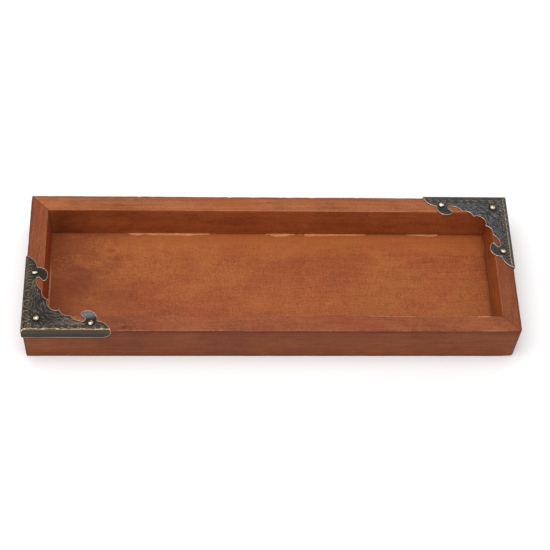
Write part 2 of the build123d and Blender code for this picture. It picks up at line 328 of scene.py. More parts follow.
def panel_material(name, red_mid, tan_mid):
    """Stained rotary-cut plywood: blotchy, with a loose figure and one small eye."""
    g = Nodes(name)
    p = g.mapping(g.coords(), scale=(1000, 1000, 1000))
    # the grain bends round the eye and round a flat lens of figure further on
    q = p
    for centre, size, push in (((-74.5, 18.6, 3.5), 5.0, 0.85), ((63.0, 18.5, 3.5), 8.0, 0.55)):
        away = g.vmath("SUBTRACT", p, centre)
        away = g.vmath("MULTIPLY", away, (0.55, 1.0, 0.0))
        fall = g.math("DIVIDE", g.vmath("LENGTH", away), size)
        fall = g.math("EXPONENT", g.math("MULTIPLY", g.math("MULTIPLY", fall, fall), -1.0))
        move = g.vmath("SCALE", g.vmath("MULTIPLY", away, (0.0, -1.0, 0.0)), scale=1.0)
        move = g.vmath("SCALE", move, scale=g.math("MULTIPLY", fall, push))
        q = g.vmath("ADD", q, move)
    eye = g.mapping(g.vmath("SUBTRACT", p, (-74.2, 18.4, 3.5)), scale=(0.28, 0.50, 0.0), rotation=(0, 0, -0.32))
    wobble = g.noise(p, 0.30, 3.0, 0.6, out="Color")
    wobble = g.vmath("SCALE", g.vmath("SUBTRACT", wobble, (0.5, 0.5, 0.5)), scale=0.9)
    eye = g.vmath("LENGTH", g.vmath("ADD", eye, g.vmath("MULTIPLY", wobble, (1.0, 1.0, 0.0))))
    halo = g.math("SUBTRACT", eye, 1.0)
    halo = g.math("EXPONENT", g.math("MULTIPLY", g.math("MULTIPLY", halo, halo), -46.0))
    halo2 = g.math("SUBTRACT", eye, 1.75)
    halo2 = g.math("EXPONENT", g.math("MULTIPLY", g.math("MULTIPLY", halo2, halo2), -16.0))
    core = g.step(eye, 0.85, 0.25)
    east = g.node("ShaderNodeSeparateXYZ")
    g.put(east.inputs[0], g.vmath("SUBTRACT", p, (-74.2, 18.4, 3.5)))
    halo = g.math("MULTIPLY", halo, g.step(east.outputs[0], -3.5, 1.5, 0.25, 1.0))
    halo2 = g.math("MULTIPLY", halo2, g.step(east.outputs[0], 3.5, -2.5, 0.3, 1.0))
    wander = g.noise(g.mapping(q, scale=(0.016, 0.06, 0.06)), 1.0, 2.0, 0.5, out="Color")
    wander = g.vmath("SCALE", g.vmath("SUBTRACT", wander, (0.5, 0.5, 0.5)), scale=9.0)
    q = g.vmath("ADD", q, g.vmath("MULTIPLY", wander, (0.0, 1.0, 0.0)))
    streak = g.noise(g.mapping(q, scale=(0.045, 1.0, 1.0)), 1.0, 4.0, 0.6)
    fibre = g.noise(g.mapping(q, scale=(0.35, 4.5, 4.5)), 1.0, 3.0, 0.6)
    across = g.noise(g.mapping(q, scale=(3.0, 0.22, 0.22)), 1.0, 2.0, 0.5)
    blotch = g.noise(p, 0.030, 3.0, 0.55, 0.5)
    cloud = g.noise(g.mapping(p, scale=(0.6, 1.0, 1.0), location=(11, 5, 0)), 0.15, 3.0, 0.6, 0.4)
    speck = g.noise(p, 1.5, 3.0, 0.62)
    pore = g.noise(g.mapping(q, scale=(0.6, 5.5, 5.5), location=(8, 1, 5)), 1.0, 1.0, 0.5)
    pore = g.step(pore, 0.30, 0.21)
    place = g.node("ShaderNodeSeparateXYZ")
    g.put(place.inputs[0], p)
    px, py = place.outputs[0], place.outputs[1]
    # mottled figure, strongest in the left third
    figure = g.noise(g.mapping(q, scale=(0.28, 0.62, 0.62), rotation=(0, 0, 0.5)), 1.0, 3.0, 0.6, 0.9)
    figure = g.math("MULTIPLY", g.math("SUBTRACT", figure, 0.5), g.step(px, -20.0, -75.0, 0.15, 0.75))
    # the streaks are plainest in the far right corner
    lined = g.math("MULTIPLY", g.step(px, 28.0, 78.0), g.step(py, -6.0, 14.0))
    tone = g.math("MULTIPLY", g.math("SUBTRACT", streak, 0.5), g.math("MULTIPLY_ADD", lined, 0.70, 0.55))
    tone = g.math("MULTIPLY_ADD", g.math("SUBTRACT", fibre, 0.5), 0.75, tone)
    tone = g.math("MULTIPLY_ADD", g.math("SUBTRACT", across, 0.5), 0.65, tone)
    tone = g.math("MULTIPLY_ADD", g.math("SUBTRACT", cloud, 0.5), 0.42, tone)
    tone = g.math("MULTIPLY_ADD", g.math("SUBTRACT", speck, 0.5), 1.60, tone)
    tone = g.math("ADD", tone, figure)
    tone = g.math("MULTIPLY_ADD", halo, 0.80, tone)
    tone = g.math("MULTIPLY_ADD", halo2, 0.16, tone)
    tone = g.math("MULTIPLY_ADD", core, -0.45, tone)
    tone = g.math("ADD", tone, 0.5, clamp=True)

    def spread(mid):
        return [
            (0.08, (mid[0] * 0.66, mid[1] * 0.60, mid[2] * 0.58)),
            (0.5, mid),
            (0.92, (mid[0] * 1.32, mid[1] * 1.42, mid[2] * 1.5)),
        ]

    colour = g.mix(g.step(blotch, 0.42, 0.60), g.ramp(tone, spread(red_mid)), g.ramp(tone, spread(tan_mid)))
    # darker in the left end: thicker stain, and painted shade of the left wall
    end = g.math("ADD", px, g.math("MULTIPLY", g.math("SUBTRACT", blotch, 0.5), 60.0))
    end = g.math("ADD", end, g.math("MULTIPLY", g.math("SUBTRACT", cloud, 0.5), 26.0))
    end = g.step(end, -46.0, -90.0, 0.0, 0.62)
    end = g.math("MULTIPLY", end, g.step(px, -102.0, -96.0, 0.45, 1.0))
    colour = g.mix(end, colour, (red_mid[0] * 0.55, red_mid[1] * 0.45, red_mid[2] * 0.45))
    patch = g.vmath("LENGTH", g.vmath("MULTIPLY", g.vmath("SUBTRACT", p, (-88.5, 2.0, 3.5)), (0.12, 0.075, 0.0)))
    patch = g.math("ADD", patch, g.math("MULTIPLY", g.math("SUBTRACT", cloud, 0.5), 1.6))
    colour = g.mix(g.step(patch, 1.0, 0.2, 0.0, 0.55), colour, (red_mid[0] * 0.50, red_mid[1] * 0.36, red_mid[2] * 0.40))
    # paler along the far side
    far = g.math("ADD", py, g.math("MULTIPLY", g.math("SUBTRACT", cloud, 0.5), 14.0))
    far = g.math("MULTIPLY", g.step(far, 12.0, 25.0), g.step(px, -88.0, -50.0, 0.25, 1.0))
    colour = g.mix(g.math("MULTIPLY", far, 0.44), colour, (tan_mid[0] * 1.50, tan_mid[1] * 1.50, tan_mid[2] * 1.25))
    # thin curling threads of dried glue and lifted fibre in the far left part
    thread = g.noise(g.mapping(p, scale=(0.30, 0.75, 1.0), location=(4, 2, 0)), 1.0, 3.0, 0.55, 1.6)
    thread = g.math("ABSOLUTE", g.math("SUBTRACT", thread, 0.5))
    thread = g.step(thread, 0.026, 0.006)
    zone = g.math("MULTIPLY", g.step(px, -62.0, -76.0), g.step(py, -2.0, 8.0))
    zone = g.math("MULTIPLY", zone, g.step(cloud, 0.42, 0.56, 0.25, 1.0))
    colour = g.mix(g.math("MULTIPLY", g.math("MULTIPLY", thread, zone), 0.55), colour, srgb(196, 124, 74))
    colour = g.mix(g.math("MULTIPLY", pore, 0.25), colour, dim(red_mid, 0.35))
    # dark joint along the walls, and painted shade on the floor beside them
    dark_marks_and_shade = g.math("MULTIPLY", g.attr("dark"), g.linear(cloud, 0.3, 0.7, 0.6, 1.2), clamp=True)
    colour = g.mix(dark_marks_and_shade, colour, (red_mid[0] * 0.22, red_mid[1] * 0.15, red_mid[2] * 0.15))
    g.set(
        Base_Color=colour,
        Roughness=g.linear(tone, 0.0, 1.0, 0.66, 0.54),
        Specular_IOR_Level=0.20,
    )
    height = g.math("MULTIPLY_ADD", fibre, 0.6, g.math("MULTIPLY", streak, 0.4))
    height = g.math("SUBTRACT", height, g.math("MULTIPLY", pore, 0.4))
    g.set(Normal=g.bump(height, 0.28, 0.0001))
    return g.mat


def bronze_material(name, ground, film_tint, stroke, warm, rim, bright, upper_skirt, lower_skirt):
    """Antique stamped sheet: dark patina in the ground, rubbed metal on what stands up.
    warm is the olive brass of the border's ornament, and bright that of the bead on the fold."""
    g = Nodes(name)
    p = g.mapping(g.coords(), scale=(1000, 1000, 1000))
    relief = g.attr("relief")
    edge = g.attr("rim")
    fold = g.attr("fold")
    border = g.attr("border")
    hook_highlight = g.attr("hook_highlight")
    halo = g.attr("halo")
    skirt = g.attr("skirt")
    grit = g.noise(p, 2.4, 4.0, 0.62)
    film = g.noise(p, 0.30, 3.0, 0.6, 0.5)
    wide = g.noise(p, 0.11, 2.0, 0.5)
    scratch = g.noise(g.mapping(p, scale=(5.0, 0.5, 0.5), rotation=(0, 0, 0.6)), 1.0, 3.0, 0.6)
    base = g.mix(g.step(film, 0.38, 0.64), ground, film_tint)
    base = g.mix(g.math("MULTIPLY", border, g.step(grit, 0.35, 0.65, 0.15, 0.55)), base, dim(warm, 0.42))
    base = g.mix(g.math("MULTIPLY", g.step(grit, 0.54, 0.36), 0.62), base, dim(ground, 0.30))
    metal = g.mix(border, stroke, warm)
    base = g.mix(g.math("MULTIPLY", g.step(relief, 0.28, 0.04), g.step(skirt, 0.12, 0.01, 0.0, 0.38)), base, dim(ground, 0.45))
    lifted = g.math("ADD", relief, g.math("MULTIPLY", g.math("SUBTRACT", grit, 0.5), 0.85))
    lifted = g.math("MULTIPLY_ADD", g.math("SUBTRACT", scratch, 0.5), 0.40, lifted)
    lifted = g.math("MULTIPLY_ADD", g.math("SUBTRACT", wide, 0.5), 0.50, lifted)
    base = g.mix(g.step(lifted, 0.30, 0.95, 0.0, 0.92), base, metal)
    # the skirt is duller: brown under the fold, and slate below
    low_skirt = g.step(g.math("MULTIPLY_ADD", g.math("SUBTRACT", film, 0.5), 0.55, skirt), 0.26, 0.66)
    base = g.mix(g.math("MULTIPLY", g.step(skirt, 0.005, 0.05), g.linear(lifted, 0.1, 0.9, 0.92, 0.55)), base, upper_skirt)
    base = g.mix(g.math("MULTIPLY", low_skirt, g.linear(lifted, 0.1, 0.8, 0.95, 0.50)), base, lower_skirt)
    # painted highlight: the bent-up hook lobe lightened to pale grey, standing in for its reflection of the light
    base = g.mix(g.math("MULTIPLY", hook_highlight, g.linear(grit, 0.3, 0.7, 0.50, 0.95), clamp=True), base, srgb(134, 134, 136))
    # painted shade: the sheet darkened in a ring round each nail, standing in for the heads' shadows
    base = g.mix(g.math("MULTIPLY", halo, 0.78), base, dim(ground, 0.18))
    rubbed = g.math("ADD", edge, g.math("MULTIPLY", g.math("SUBTRACT", grit, 0.5), 0.55))
    rubbed = g.step(g.math("MULTIPLY_ADD", g.math("SUBTRACT", wide, 0.5), 0.35, rubbed), 0.38, 0.78)
    base = g.mix(g.math("MULTIPLY", rubbed, 0.92), base, rim)
    bead = g.math("ADD", fold, g.math("MULTIPLY", g.math("SUBTRACT", grit, 0.5), 0.30))
    bead = g.step(bead, 0.18, 0.54)
    base = g.mix(bead, base, bright)
    bare = g.math("MAXIMUM", rubbed, bead)
    g.set(
        Base_Color=base,
        Metallic=g.linear(bare, 0.0, 1.0, 0.70, 0.88),
        Roughness=g.math("MULTIPLY_ADD", grit, 0.18, g.linear(bare, 0.0, 1.0, 0.36, 0.30)),
    )
    stipple = g.voronoi(p, 2.4)
    height = g.math("MULTIPLY_ADD", grit, 0.5, g.math("MULTIPLY", stipple, 0.5))
    height = g.math("MULTIPLY", height, g.linear(bare, 0.0, 1.0, 1.0, 0.25))
    g.set(Normal=g.bump(height, 0.5, 0.00012))
    return g.mat


def brass_material():
    g = Nodes("nail_brass")
    p = g.mapping(g.coords(), scale=(1000, 1000, 1000))
    tarnish = g.noise(p, 1.1, 3.0, 0.6)
    fine = g.noise(p, 4.5, 3.0, 0.6)
    colour = g.ramp(tarnish, [(0.32, srgb(140, 120, 88)), (0.48, srgb(222, 204, 164)), (0.66, srgb(250, 240, 212))])
    colour = g.mix(g.step(fine, 0.46, 0.32, 0.0, 0.75), colour, srgb(84, 66, 42))
    # painted reflection: a dark spot in a shallow dimple, standing in for dark surroundings mirrored in the head
    dark_reflection = g.math("ADD", g.attr("dark_reflection"), g.math("MULTIPLY", g.math("SUBTRACT", fine, 0.5), 0.5))
    dark_reflection = g.step(dark_reflection, 0.20, 0.58)
    colour = g.mix(g.math("MULTIPLY", dark_reflection, 0.92), colour, srgb(104, 80, 46))
    rough = g.linear(tarnish, 0.3, 0.7, 0.34, 0.20)
    g.set(Base_Color=colour, Metallic=1.0, Roughness=g.math("MULTIPLY_ADD", dark_reflection, 0.25, rough))
    g.set(Normal=g.bump(fine, 0.35, 0.0001))
    return g.mat


def steel_material():
    g = Nodes("pin_steel")
    p = g.mapping(g.coords(), scale=(1000, 1000, 1000))
    drawn = g.noise(g.mapping(p, scale=(1.0, 6.0, 6.0)), 1.0, 3.0, 0.6)
    rust = g.noise(p, 1.7, 3.0, 0.6)
    colour = g.ramp(drawn, [(0.3, srgb(120, 118, 114)), (0.7, srgb(176, 174, 170))])
    colour = g.mix(g.step(rust, 0.52, 0.66, 0.0, 0.7), colour, srgb(96, 62, 40))
    g.set(Base_Color=colour, Metallic=0.9, Roughness=g.linear(rust, 0.3, 0.7, 0.35, 0.6))
    g.set(Normal=g.bump(drawn, 0.3, 0.00005))
    return g.mat


def bare_wood_material(name, low, mid, high):
    """Pale wood and dried glue along the floor's edges, where the stain didn't take."""
    g = Nodes(name)
    p = g.mapping(g.coords(), scale=(1000, 1000, 1000))
    tone = g.noise(g.mapping(p, scale=(0.35, 1.5, 1.5)), 1.0, 4.0, 0.6)
    colour = g.ramp(tone, [(0.28, low), (0.5, mid), (0.74, high)])
    g.set(Base_Color=colour, Roughness=g.linear(tone, 0.3, 0.7, 0.55, 0.42), Specular_IOR_Level=0.4)
    g.set(Normal=g.bump(tone, 0.4, 0.00015))
    return g.mat


# painted light and shade: each rail's inner faces and all outer faces are tinted against the top for how light falls on
# them
OUTER_FACE_LIGHTING = (0.82, 0.68, 0.28)
wood = {
    "front_rail": wood_material("stain_front", 0.0, (7, 0, 0), (0.232, 0.062, 0.021), (1.1, 1.0, 0.9), OUTER_FACE_LIGHTING),
    "back_rail": wood_material("stain_back", 0.0, (190, 44, 9), (0.284, 0.085, 0.027), (1.10, 0.93, 0.76), OUTER_FACE_LIGHTING, 6.0),
    "left_rail": wood_material("stain_left", math.pi / 2, (60, -30, 3), (0.196, 0.049, 0.016), (1.60, 1.18, 0.70), OUTER_FACE_LIGHTING, -9.0),
    "right_rail": wood_material("stain_right", math.pi / 2, (-80, 70, -6), (0.186, 0.049, 0.016), (1.75, 1.70, 1.20), OUTER_FACE_LIGHTING, 14.0),
}
floor_wood = panel_material("stain_panel", (0.300, 0.074, 0.021), (0.322, 0.092, 0.024))
bronze_warm = bronze_material(
    "antique_bronze_warm", srgb(42, 37, 35), srgb(56, 51, 49), srgb(112, 100, 86), srgb(148, 130, 96),
    srgb(182, 150, 122), srgb(190, 170, 140), srgb(78, 58, 35), srgb(36, 35, 34),
)
bronze_cool = bronze_material(
    "antique_bronze_cool", srgb(62, 62, 62), srgb(79, 80, 81), srgb(114, 111, 106), srgb(136, 124, 106),
    srgb(186, 156, 134), srgb(176, 158, 134), srgb(82, 74, 60), srgb(66, 66, 68),
)
brass = brass_material()
steel = steel_material()
bare = bare_wood_material("unstained_edge", srgb(162, 94, 46), srgb(194, 124, 70), srgb(214, 148, 98))
bare_red = bare_wood_material("half_stained_edge", srgb(150, 84, 50), srgb(182, 108, 70), srgb(200, 130, 90))


# ---------------------------------------------------------------- rails
def section(r_bo, r_to, r_ti):
    """Rail section, as (w, z, nw, nz) arrays of stations by points. w runs inward from the outside face."""
    stations = len(r_to)
    cols = []

    def run(a, b, n, normal):
        for k in range(n):
            t = k / n
            cols.append((a[0] + (b[0] - a[0]) * t, a[1] + (b[1] - a[1]) * t, normal[0], normal[1]))

    def arc(cw, cz, r, a0, a1, n):
        for k in range(n):
            a = math.radians(a0 + (a1 - a0) * k / n)
            cols.append((cw + r * math.cos(a), cz + r * math.sin(a), math.cos(a), math.sin(a)))

    one = np.ones(stations)
    run((REBATE * one, 0 * one), (r_bo, 0 * one), 5, (0, -1))
    arc(r_bo, r_bo, r_bo, 270, 180, 5)
    run((0 * one, r_bo), (0 * one, HEIGHT - r_to), 26, (-1, 0))
    arc(r_to, HEIGHT - r_to, r_to, 180, 90, 8)
    run((r_to, HEIGHT * one), (RAIL - r_ti, HEIGHT * one), 10, (0, 1))
    arc(RAIL - r_ti, HEIGHT - r_ti, r_ti, 90, 0, 6)
    run((RAIL * one, HEIGHT - r_ti), (RAIL * one, FLOOR * one), 22, (1, 0))
    run((RAIL * one, FLOOR * one), (REBATE * one, FLOOR * one), 4, (0, -1))
    run((REBATE * one, FLOOR * one), (REBATE * one, 0 * one), 3, (1, 0))
    w = np.stack([np.broadcast_to(c[0], stations) for c in cols], 1)
    z = np.stack([np.broadcast_to(c[1], stations) for c in cols], 1)
    nw = np.stack([np.full(stations, float(c[2])) for c in cols], 1)
    nz = np.stack([np.full(stations, float(c[3])) for c in cols], 1)
    return w, z, nw, nz


def along(w, d, r):
    """Place on the offset at depth w of a corner rounded to r, at distance d from the mitre."""
    rad = np.maximum(r - w, 0.0)
    arc = rad * math.pi / 4
    safe = np.where(rad > 1e-9, rad, 1.0)
    a = math.pi / 4 - np.minimum(d, arc) / safe
    on_arc = (d < arc) & (rad > 1e-9)
    x = np.where(on_arc, r - rad * np.sin(a), np.maximum(r, w) + (d - arc))
    y = np.where(on_arc, r - rad * np.cos(a), w)
    return x, y


NEAR = [0.03, 0.13, 0.28, 0.5, 0.8, 1.2, 1.8, 2.6, 3.6, 4.8, 6.2, 8.0, 10.0]
RAILS = {
    # name: corner it starts from, direction along, direction inward, length, vertical roundings
    "front_rail": ((-HX, -HY), (1, 0), (0, 1), LENGTH, 0.7, 1.6),
    "back_rail": ((HX, HY), (-1, 0), (0, -1), LENGTH, 1.0, 0.7),
    "left_rail": ((-HX, HY), (0, -1), (1, 0), WIDTH, 0.7, 0.7),
    "right_rail": ((HX, -HY), (0, 1), (-1, 0), WIDTH, 1.6, 1.0),
}
# where each rail's arrises are rubbed through and carry a painted highlight: (first, last, strength) in mm along the
# row axis the rail follows, for the inner top arris and for the outer one
INNER_WEAR_AND_HIGHLIGHT = {
    "front_rail": [(42, 68, 0.80), (68, 88, 0.62), (85.5, 90, 0.80), (90.0, 96.8, 1.40), (-6, 20, 0.45), (-64, -30, 0.40)],
    "back_rail": [(-40, 66, 0.50), (-98, -60, 0.40)],
    "left_rail": [(-6, 27, 0.58), (-20, -6, 0.42)],
    "right_rail": [(-27, -8, 0.62), (-8, 12, 0.60)],
}
OUTER_WEAR_AND_HIGHLIGHT = {
    "front_rail": [(-71, 38, 0.50), (38, 108, 0.40), (-25.4, -22.2, 0.74), (-60, -54, 0.60), (54, 66, 0.56), (92, 104, 0.64)],
    "back_rail": [(-60, 40, 0.12)],
    "left_rail": [(-5, 20, 0.2)],
    "right_rail": [(-30, 10, 0.2)],
}
# how dark the joint is at each corner, and how much softer its edges were sanded
SEAM_DARK = {(-1, -1): 0.9, (1, -1): 0.20, (1, 1): 0.9, (-1, 1): 0.85}
# how round each outer top arris is
TOP_ROUND = {"front_rail": 0.60, "back_rail": 0.42, "left_rail": 0.50, "right_rail": 0.60}
SOFTENED = {"front_rail": (0.0, 1.0), "back_rail": (0.25, 0.0), "left_rail": (0.0, 0.0), "right_rail": (1.0, 0.25)}


def ranged(s, ranges):
    out = np.zeros_like(s)
    for a, b, k in ranges:
        out = np.maximum(out, k * smooth(s, a - 1.5, a + 1.5) * (1 - smooth(s, b - 1.5, b + 1.5)))
    return out


def make_rail(name, seed):
    corner, t, n, length, r_a, r_b = RAILS[name]
    middle = int((length - 36) / 1.0)
    stations = len(NEAR) * 2 + middle
    # rough place of each station, for the noise that varies along the rail
    place = np.concatenate([
        np.array(NEAR) + 3,
        np.linspace(14.0, length - 14.0, middle),
        length - 3 - np.array(NEAR[::-1]),
    ])
    wob = fbm(line3(place * 0.11, 3.1 * seed), 3, seed)
    wob2 = fbm(line3(place * 0.07, 7.7 * seed), 3, seed + 5)
    r_to = TOP_ROUND[name] + 0.22 * wob
    r_ti = 0.42 + 0.15 * wob2
    r_bo = 0.36 + 0.14 * fbm(line3(place * 0.13, 1.9 * seed), 3, seed + 9)
    for end, soft in zip((place - 3, length - 3 - place), SOFTENED[name]):
        near_end = soft * np.exp(-((np.maximum(end, 0) / 4.0) ** 2))
        r_to = r_to + 0.35 * near_end
        r_bo = r_bo + 0.85 * near_end
    w, z, nw, nz = section(r_bo, r_to, r_ti)
    points = w.shape[1]
    # place of every point along the rail
    d_end = np.zeros((stations, points))
    x = np.zeros((stations, points))
    y = np.zeros((stations, points))
    k = len(NEAR)

    def walk(w_now):
        for i in range(k):
            x[i], y[i] = along(w_now[i], np.full(points, NEAR[i]), r_a)
            j = stations - 1 - i
            xb, yb = along(w_now[j], np.full(points, NEAR[i]), r_b)
            x[j], y[j] = length - xb, yb
            d_end[i] = d_end[j] = NEAR[i]
        x0, x1 = x[k - 1], x[stations - k]
        for m in range(middle):
            f = (m + 1) / (middle + 1)
            i = k + m
            x[i] = x0 + (x1 - x0) * f
            y[i] = w_now[i]
            d_end[i] = np.minimum(x[i] - w_now[i], length - x[i] - w_now[i])

    walk(w)
    pos = np.stack([x.ravel(), y.ravel() + 40.0 * seed, z.ravel()], 1)
    # hand-sanded faces: very low waves, never proud of the nominal faces
    sink = 0.045 + 0.040 * fbm(pos * np.array([0.05, 0.22, 0.22]), 3, seed + 21)
    sink = sink + 0.012 * vnoise(pos * np.array([0.6, 1.6, 1.6]), seed + 31)
    sink = sink.reshape(w.shape)
    top_outer = np.exp(-(((w - 0.25) ** 2 + (z - HEIGHT + 0.25) ** 2) / 0.62**2))
    top_inner = np.exp(-(((w - RAIL + 0.15) ** 2 + (z - HEIGHT + 0.15) ** 2) / 0.50**2))
    low_outer = np.exp(-(((w - 0.15) ** 2 + (z - 0.15) ** 2) / 0.55**2))
    dents = np.maximum(0, vnoise(np.stack([x.ravel() * 0.55, z.ravel() * 0.3, y.ravel() * 0 + seed], 1), seed + 41) - 0.45)
    sink = sink + (top_outer + top_inner + low_outer) * dents.reshape(w.shape) * 0.45
    # the joint line sits a little low
    sink = sink + 0.16 * np.exp(-d_end / 0.12) * (nz > 0.2)
    sink = np.maximum(sink, 0.012)
    # what faces the floor or the panel stays put
    still = (nz < -0.5) | ((nw > 0.5) & (w < RAIL - 1))
    sink = np.where(still & (z > 1.0), 0.0, sink)
    sink = np.where((nz < -0.5) & (z < 1.0), 0.0, sink)
    w2, z2 = w - nw * sink, z - nz * sink
    walk(w2)
    world_x = corner[0] + t[0] * x + n[0] * y
    world_y = corner[1] + t[1] * x + n[1] * y
    verts = np.stack([world_x.ravel(), world_y.ravel(), z2.ravel()], 1)
    faces = []
    for i in range(stations - 1):
        a, b = i * points, (i + 1) * points
        for j in range(points):
            j2 = (j + 1) % points
            faces.append((a + j, a + j2, b + j2, b + j))
    faces.append(tuple(range(points)))
    faces.append(tuple((stations - 1) * points + j for j in range(points)))
    # masks
    s = world_x if length == LENGTH else world_y
    fine_inner = np.exp(-(((w - RAIL + 0.12) ** 2 + (z - HEIGHT + 0.12) ** 2) / 0.36**2))
    wear_and_highlight = fine_inner * ranged(s, INNER_WEAR_AND_HIGHLIGHT[name]) * 1.15
    wear_and_highlight = wear_and_highlight + np.exp(-(((w - 0.45) / 0.45) ** 2)) * smooth(z, HEIGHT - 0.5, HEIGHT - 0.1) * ranged(s, OUTER_WEAR_AND_HIGHLIGHT[name])
    wear_and_highlight = wear_and_highlight + low_outer * (0.0 if name == "front_rail" else 0.15)
    dark_end = np.vectorize(lambda a, b: SEAM_DARK[(a, b)])(np.where(world_x < 0, -1, 1), np.where(world_y < 0, -1, 1))
    seam = np.exp(-d_end / 0.17) * dark_end * smooth(w, -0.5, 3.0) * (0.75 + 0.35 * vnoise(pos * 0.8, seed + 71).reshape(w.shape))
    stain = np.exp(-(((z - (HEIGHT - 1.05)) / 0.68) ** 2)) * (w < 0.5)
    stain = stain * (0.78 + 0.22 * smooth(vnoise(line3(s * 0.06, 2.0), 3).reshape(s.shape), -0.5, 0.6))
    under = 0.12 * smooth(z, HEIGHT - 6.5, HEIGHT - 5.0) * (w < 0.5) * (1 - smooth(z, HEIGHT - 1.5, HEIGHT - 0.5))
    # painted shadow of each plate's skirt on the wood just under it, and darker upright arrises
    plated = s < (-HX + ARM - 1 if length == LENGTH else -HY + ARM - 1) if name in ("front_rail", "left_rail") else s > (HX - ARM + 1 if length == LENGTH else HY - ARM + 1)
    under = np.maximum(under, 0.85 * np.exp(-(((z - (HEIGHT - 5.8)) / 0.75) ** 2)) * (w < 0.5) * plated)
    under = np.maximum(under, 0.62 * np.exp(-((d_end / 0.85) ** 2)) * (w < 0.3))
    outline = top_outer * {"back_rail": 0.50, "front_rail": 0.0, "left_rail": 0.42, "right_rail": 0.46}[name]
    low_inner = np.exp(-np.maximum(z - FLOOR, 0) / 0.45) * (w > RAIL - 0.5) * 0.45
    # painted contact shadow along the foot of the outer faces
    ground = np.exp(-((np.maximum(z, 0) / 1.0) ** 2)) * (w < 1.0)
    dark = np.clip(np.maximum.reduce([seam, under, outline, low_inner, ground]), 0, 1)
    # painted shade of the left wall on the far wall's inner face, in the back left corner
    if name == "back_rail":
        left_wall_shade = smooth(s, -78.0, -96.5) * (1 - 0.6 * smooth(s, -98.0, -100.5)) * (w > RAIL - 0.3) * (z < HEIGHT - 0.6)
        dark = np.clip(np.maximum(dark, left_wall_shade * (0.50 + 0.16 * vnoise(pos * 0.25, 15).reshape(w.shape))), 0, 1)
    inner = np.clip(nw, 0, 1) * (w > RAIL - 1.0)
    outer = np.clip(-nw, 0, 1) * (w < 2.0)
    # thinned glue in the far left corner
    if name == "left_rail":
        smear = inner * smooth(s, 18.5, 25.5) * 0.80
    elif name == "back_rail":
        smear = inner * smooth(s, -97.2, -100.5) * 0.55
    else:
        smear = 0 * inner
    # stain that darkened one knotty place on the front rail's top
    if name == "front_rail":
        knot = np.exp(-(((s + 65.5) / 1.5) ** 2 + ((w - 1.9) / 0.5) ** 2)) * (z > HEIGHT - 1)
        spot = np.exp(-(((s + 66.0) / 4.6) ** 2 + ((w - 1.7 - 0.08 * (s + 66.0)) / 0.75) ** 2)) * (z > HEIGHT - 1)
        line = np.exp(-(((s + 57.5) / 3.2) ** 2 + ((w - 1.2) / 0.32) ** 2)) * (z > HEIGHT - 1)
        dark = np.clip(np.maximum(dark, 0.50 * knot + 0.36 * spot + 0.35 * line), 0, 1)
    return make_object(
        name.replace("rail", "rail_wood"), verts, faces, wood[name],
        {"wear_and_highlight": wear_and_highlight, "dark": dark, "inner": inner, "outer": outer, "smear": smear, "stain": stain}, 40.0, [name],
    )


rails = {name: make_rail(name, i + 1) for i, name in enumerate(RAILS)}


# ---------------------------------------------------------------- floor panel
def make_panel():
    gap = 0.25
    ax, ay = HX - RAIL + REBATE - gap, HY - RAIL + REBATE - gap
    nx, ny = 212, 80
    gx, gy = np.linspace(-ax, ax, nx), np.linspace(-ay, ay, ny)
    X, Y = np.meshgrid(gx, gy)
    P = np.stack([X.ravel(), Y.ravel(), np.zeros(X.size)], 1)
    top = FLOOR - 0.03 + 0.024 * fbm(P * np.array([0.03, 0.09, 1.0]), 3, 91) + 0.005 * vnoise(P * np.array([0.5, 1.2, 1.0]), 92)
    low = 0.5 + 0.03 + 0.012 * fbm(P * 0.05, 2, 97)
    verts = np.concatenate([
        np.stack([X.ravel(), Y.ravel(), top], 1),
        np.stack([X.ravel(), Y.ravel(), low], 1),
    ])
    faces = []
    for j in range(ny - 1):
        for i in range(nx - 1):
            a = j * nx + i
            faces.append((a, a + 1, a + nx + 1, a + nx))
            b = a + nx * ny
            faces.append((b, b + nx, b + nx + 1, b + 1))
    rim = (
        [i for i in range(nx)]
        + [j * nx + nx - 1 for j in range(1, ny)]
        + [(ny - 1) * nx + i for i in range(nx - 2, -1, -1)]
        + [j * nx for j in range(ny - 2, 0, -1)]
    )
    for a, b in zip(rim, rim[1:] + rim[:1]):
        faces.append((a, b, b + nx * ny, a + nx * ny))
    inner_x, inner_y = HX - RAIL - np.abs(verts[:, 0]), HY - RAIL - np.abs(verts[:, 1])
    dist = np.minimum(inner_x, inner_y)
    far_side = verts[:, 1] > HY - RAIL - 4
    left_side = verts[:, 0] < -HX + RAIL + 4
    # a dark joint line along the walls, and painted shade spreading about 3 mm onto the floor, stronger by the front
    # and right walls
    dark = np.where(far_side | left_side, 0.38, 0.55) * np.exp(-np.maximum(dist, 0) / 0.5)
    dark = dark + np.where(far_side | left_side, 0.06, 0.20) * np.exp(-np.maximum(dist, 0) / 3.0)
    dark[len(dark) // 2:] = 0.0
    return make_object(
        "bottom_panel_veneer", verts, faces, floor_wood, {"dark": dark}, 40.0, ["bottom_panel"]
    )


panel = make_panel()


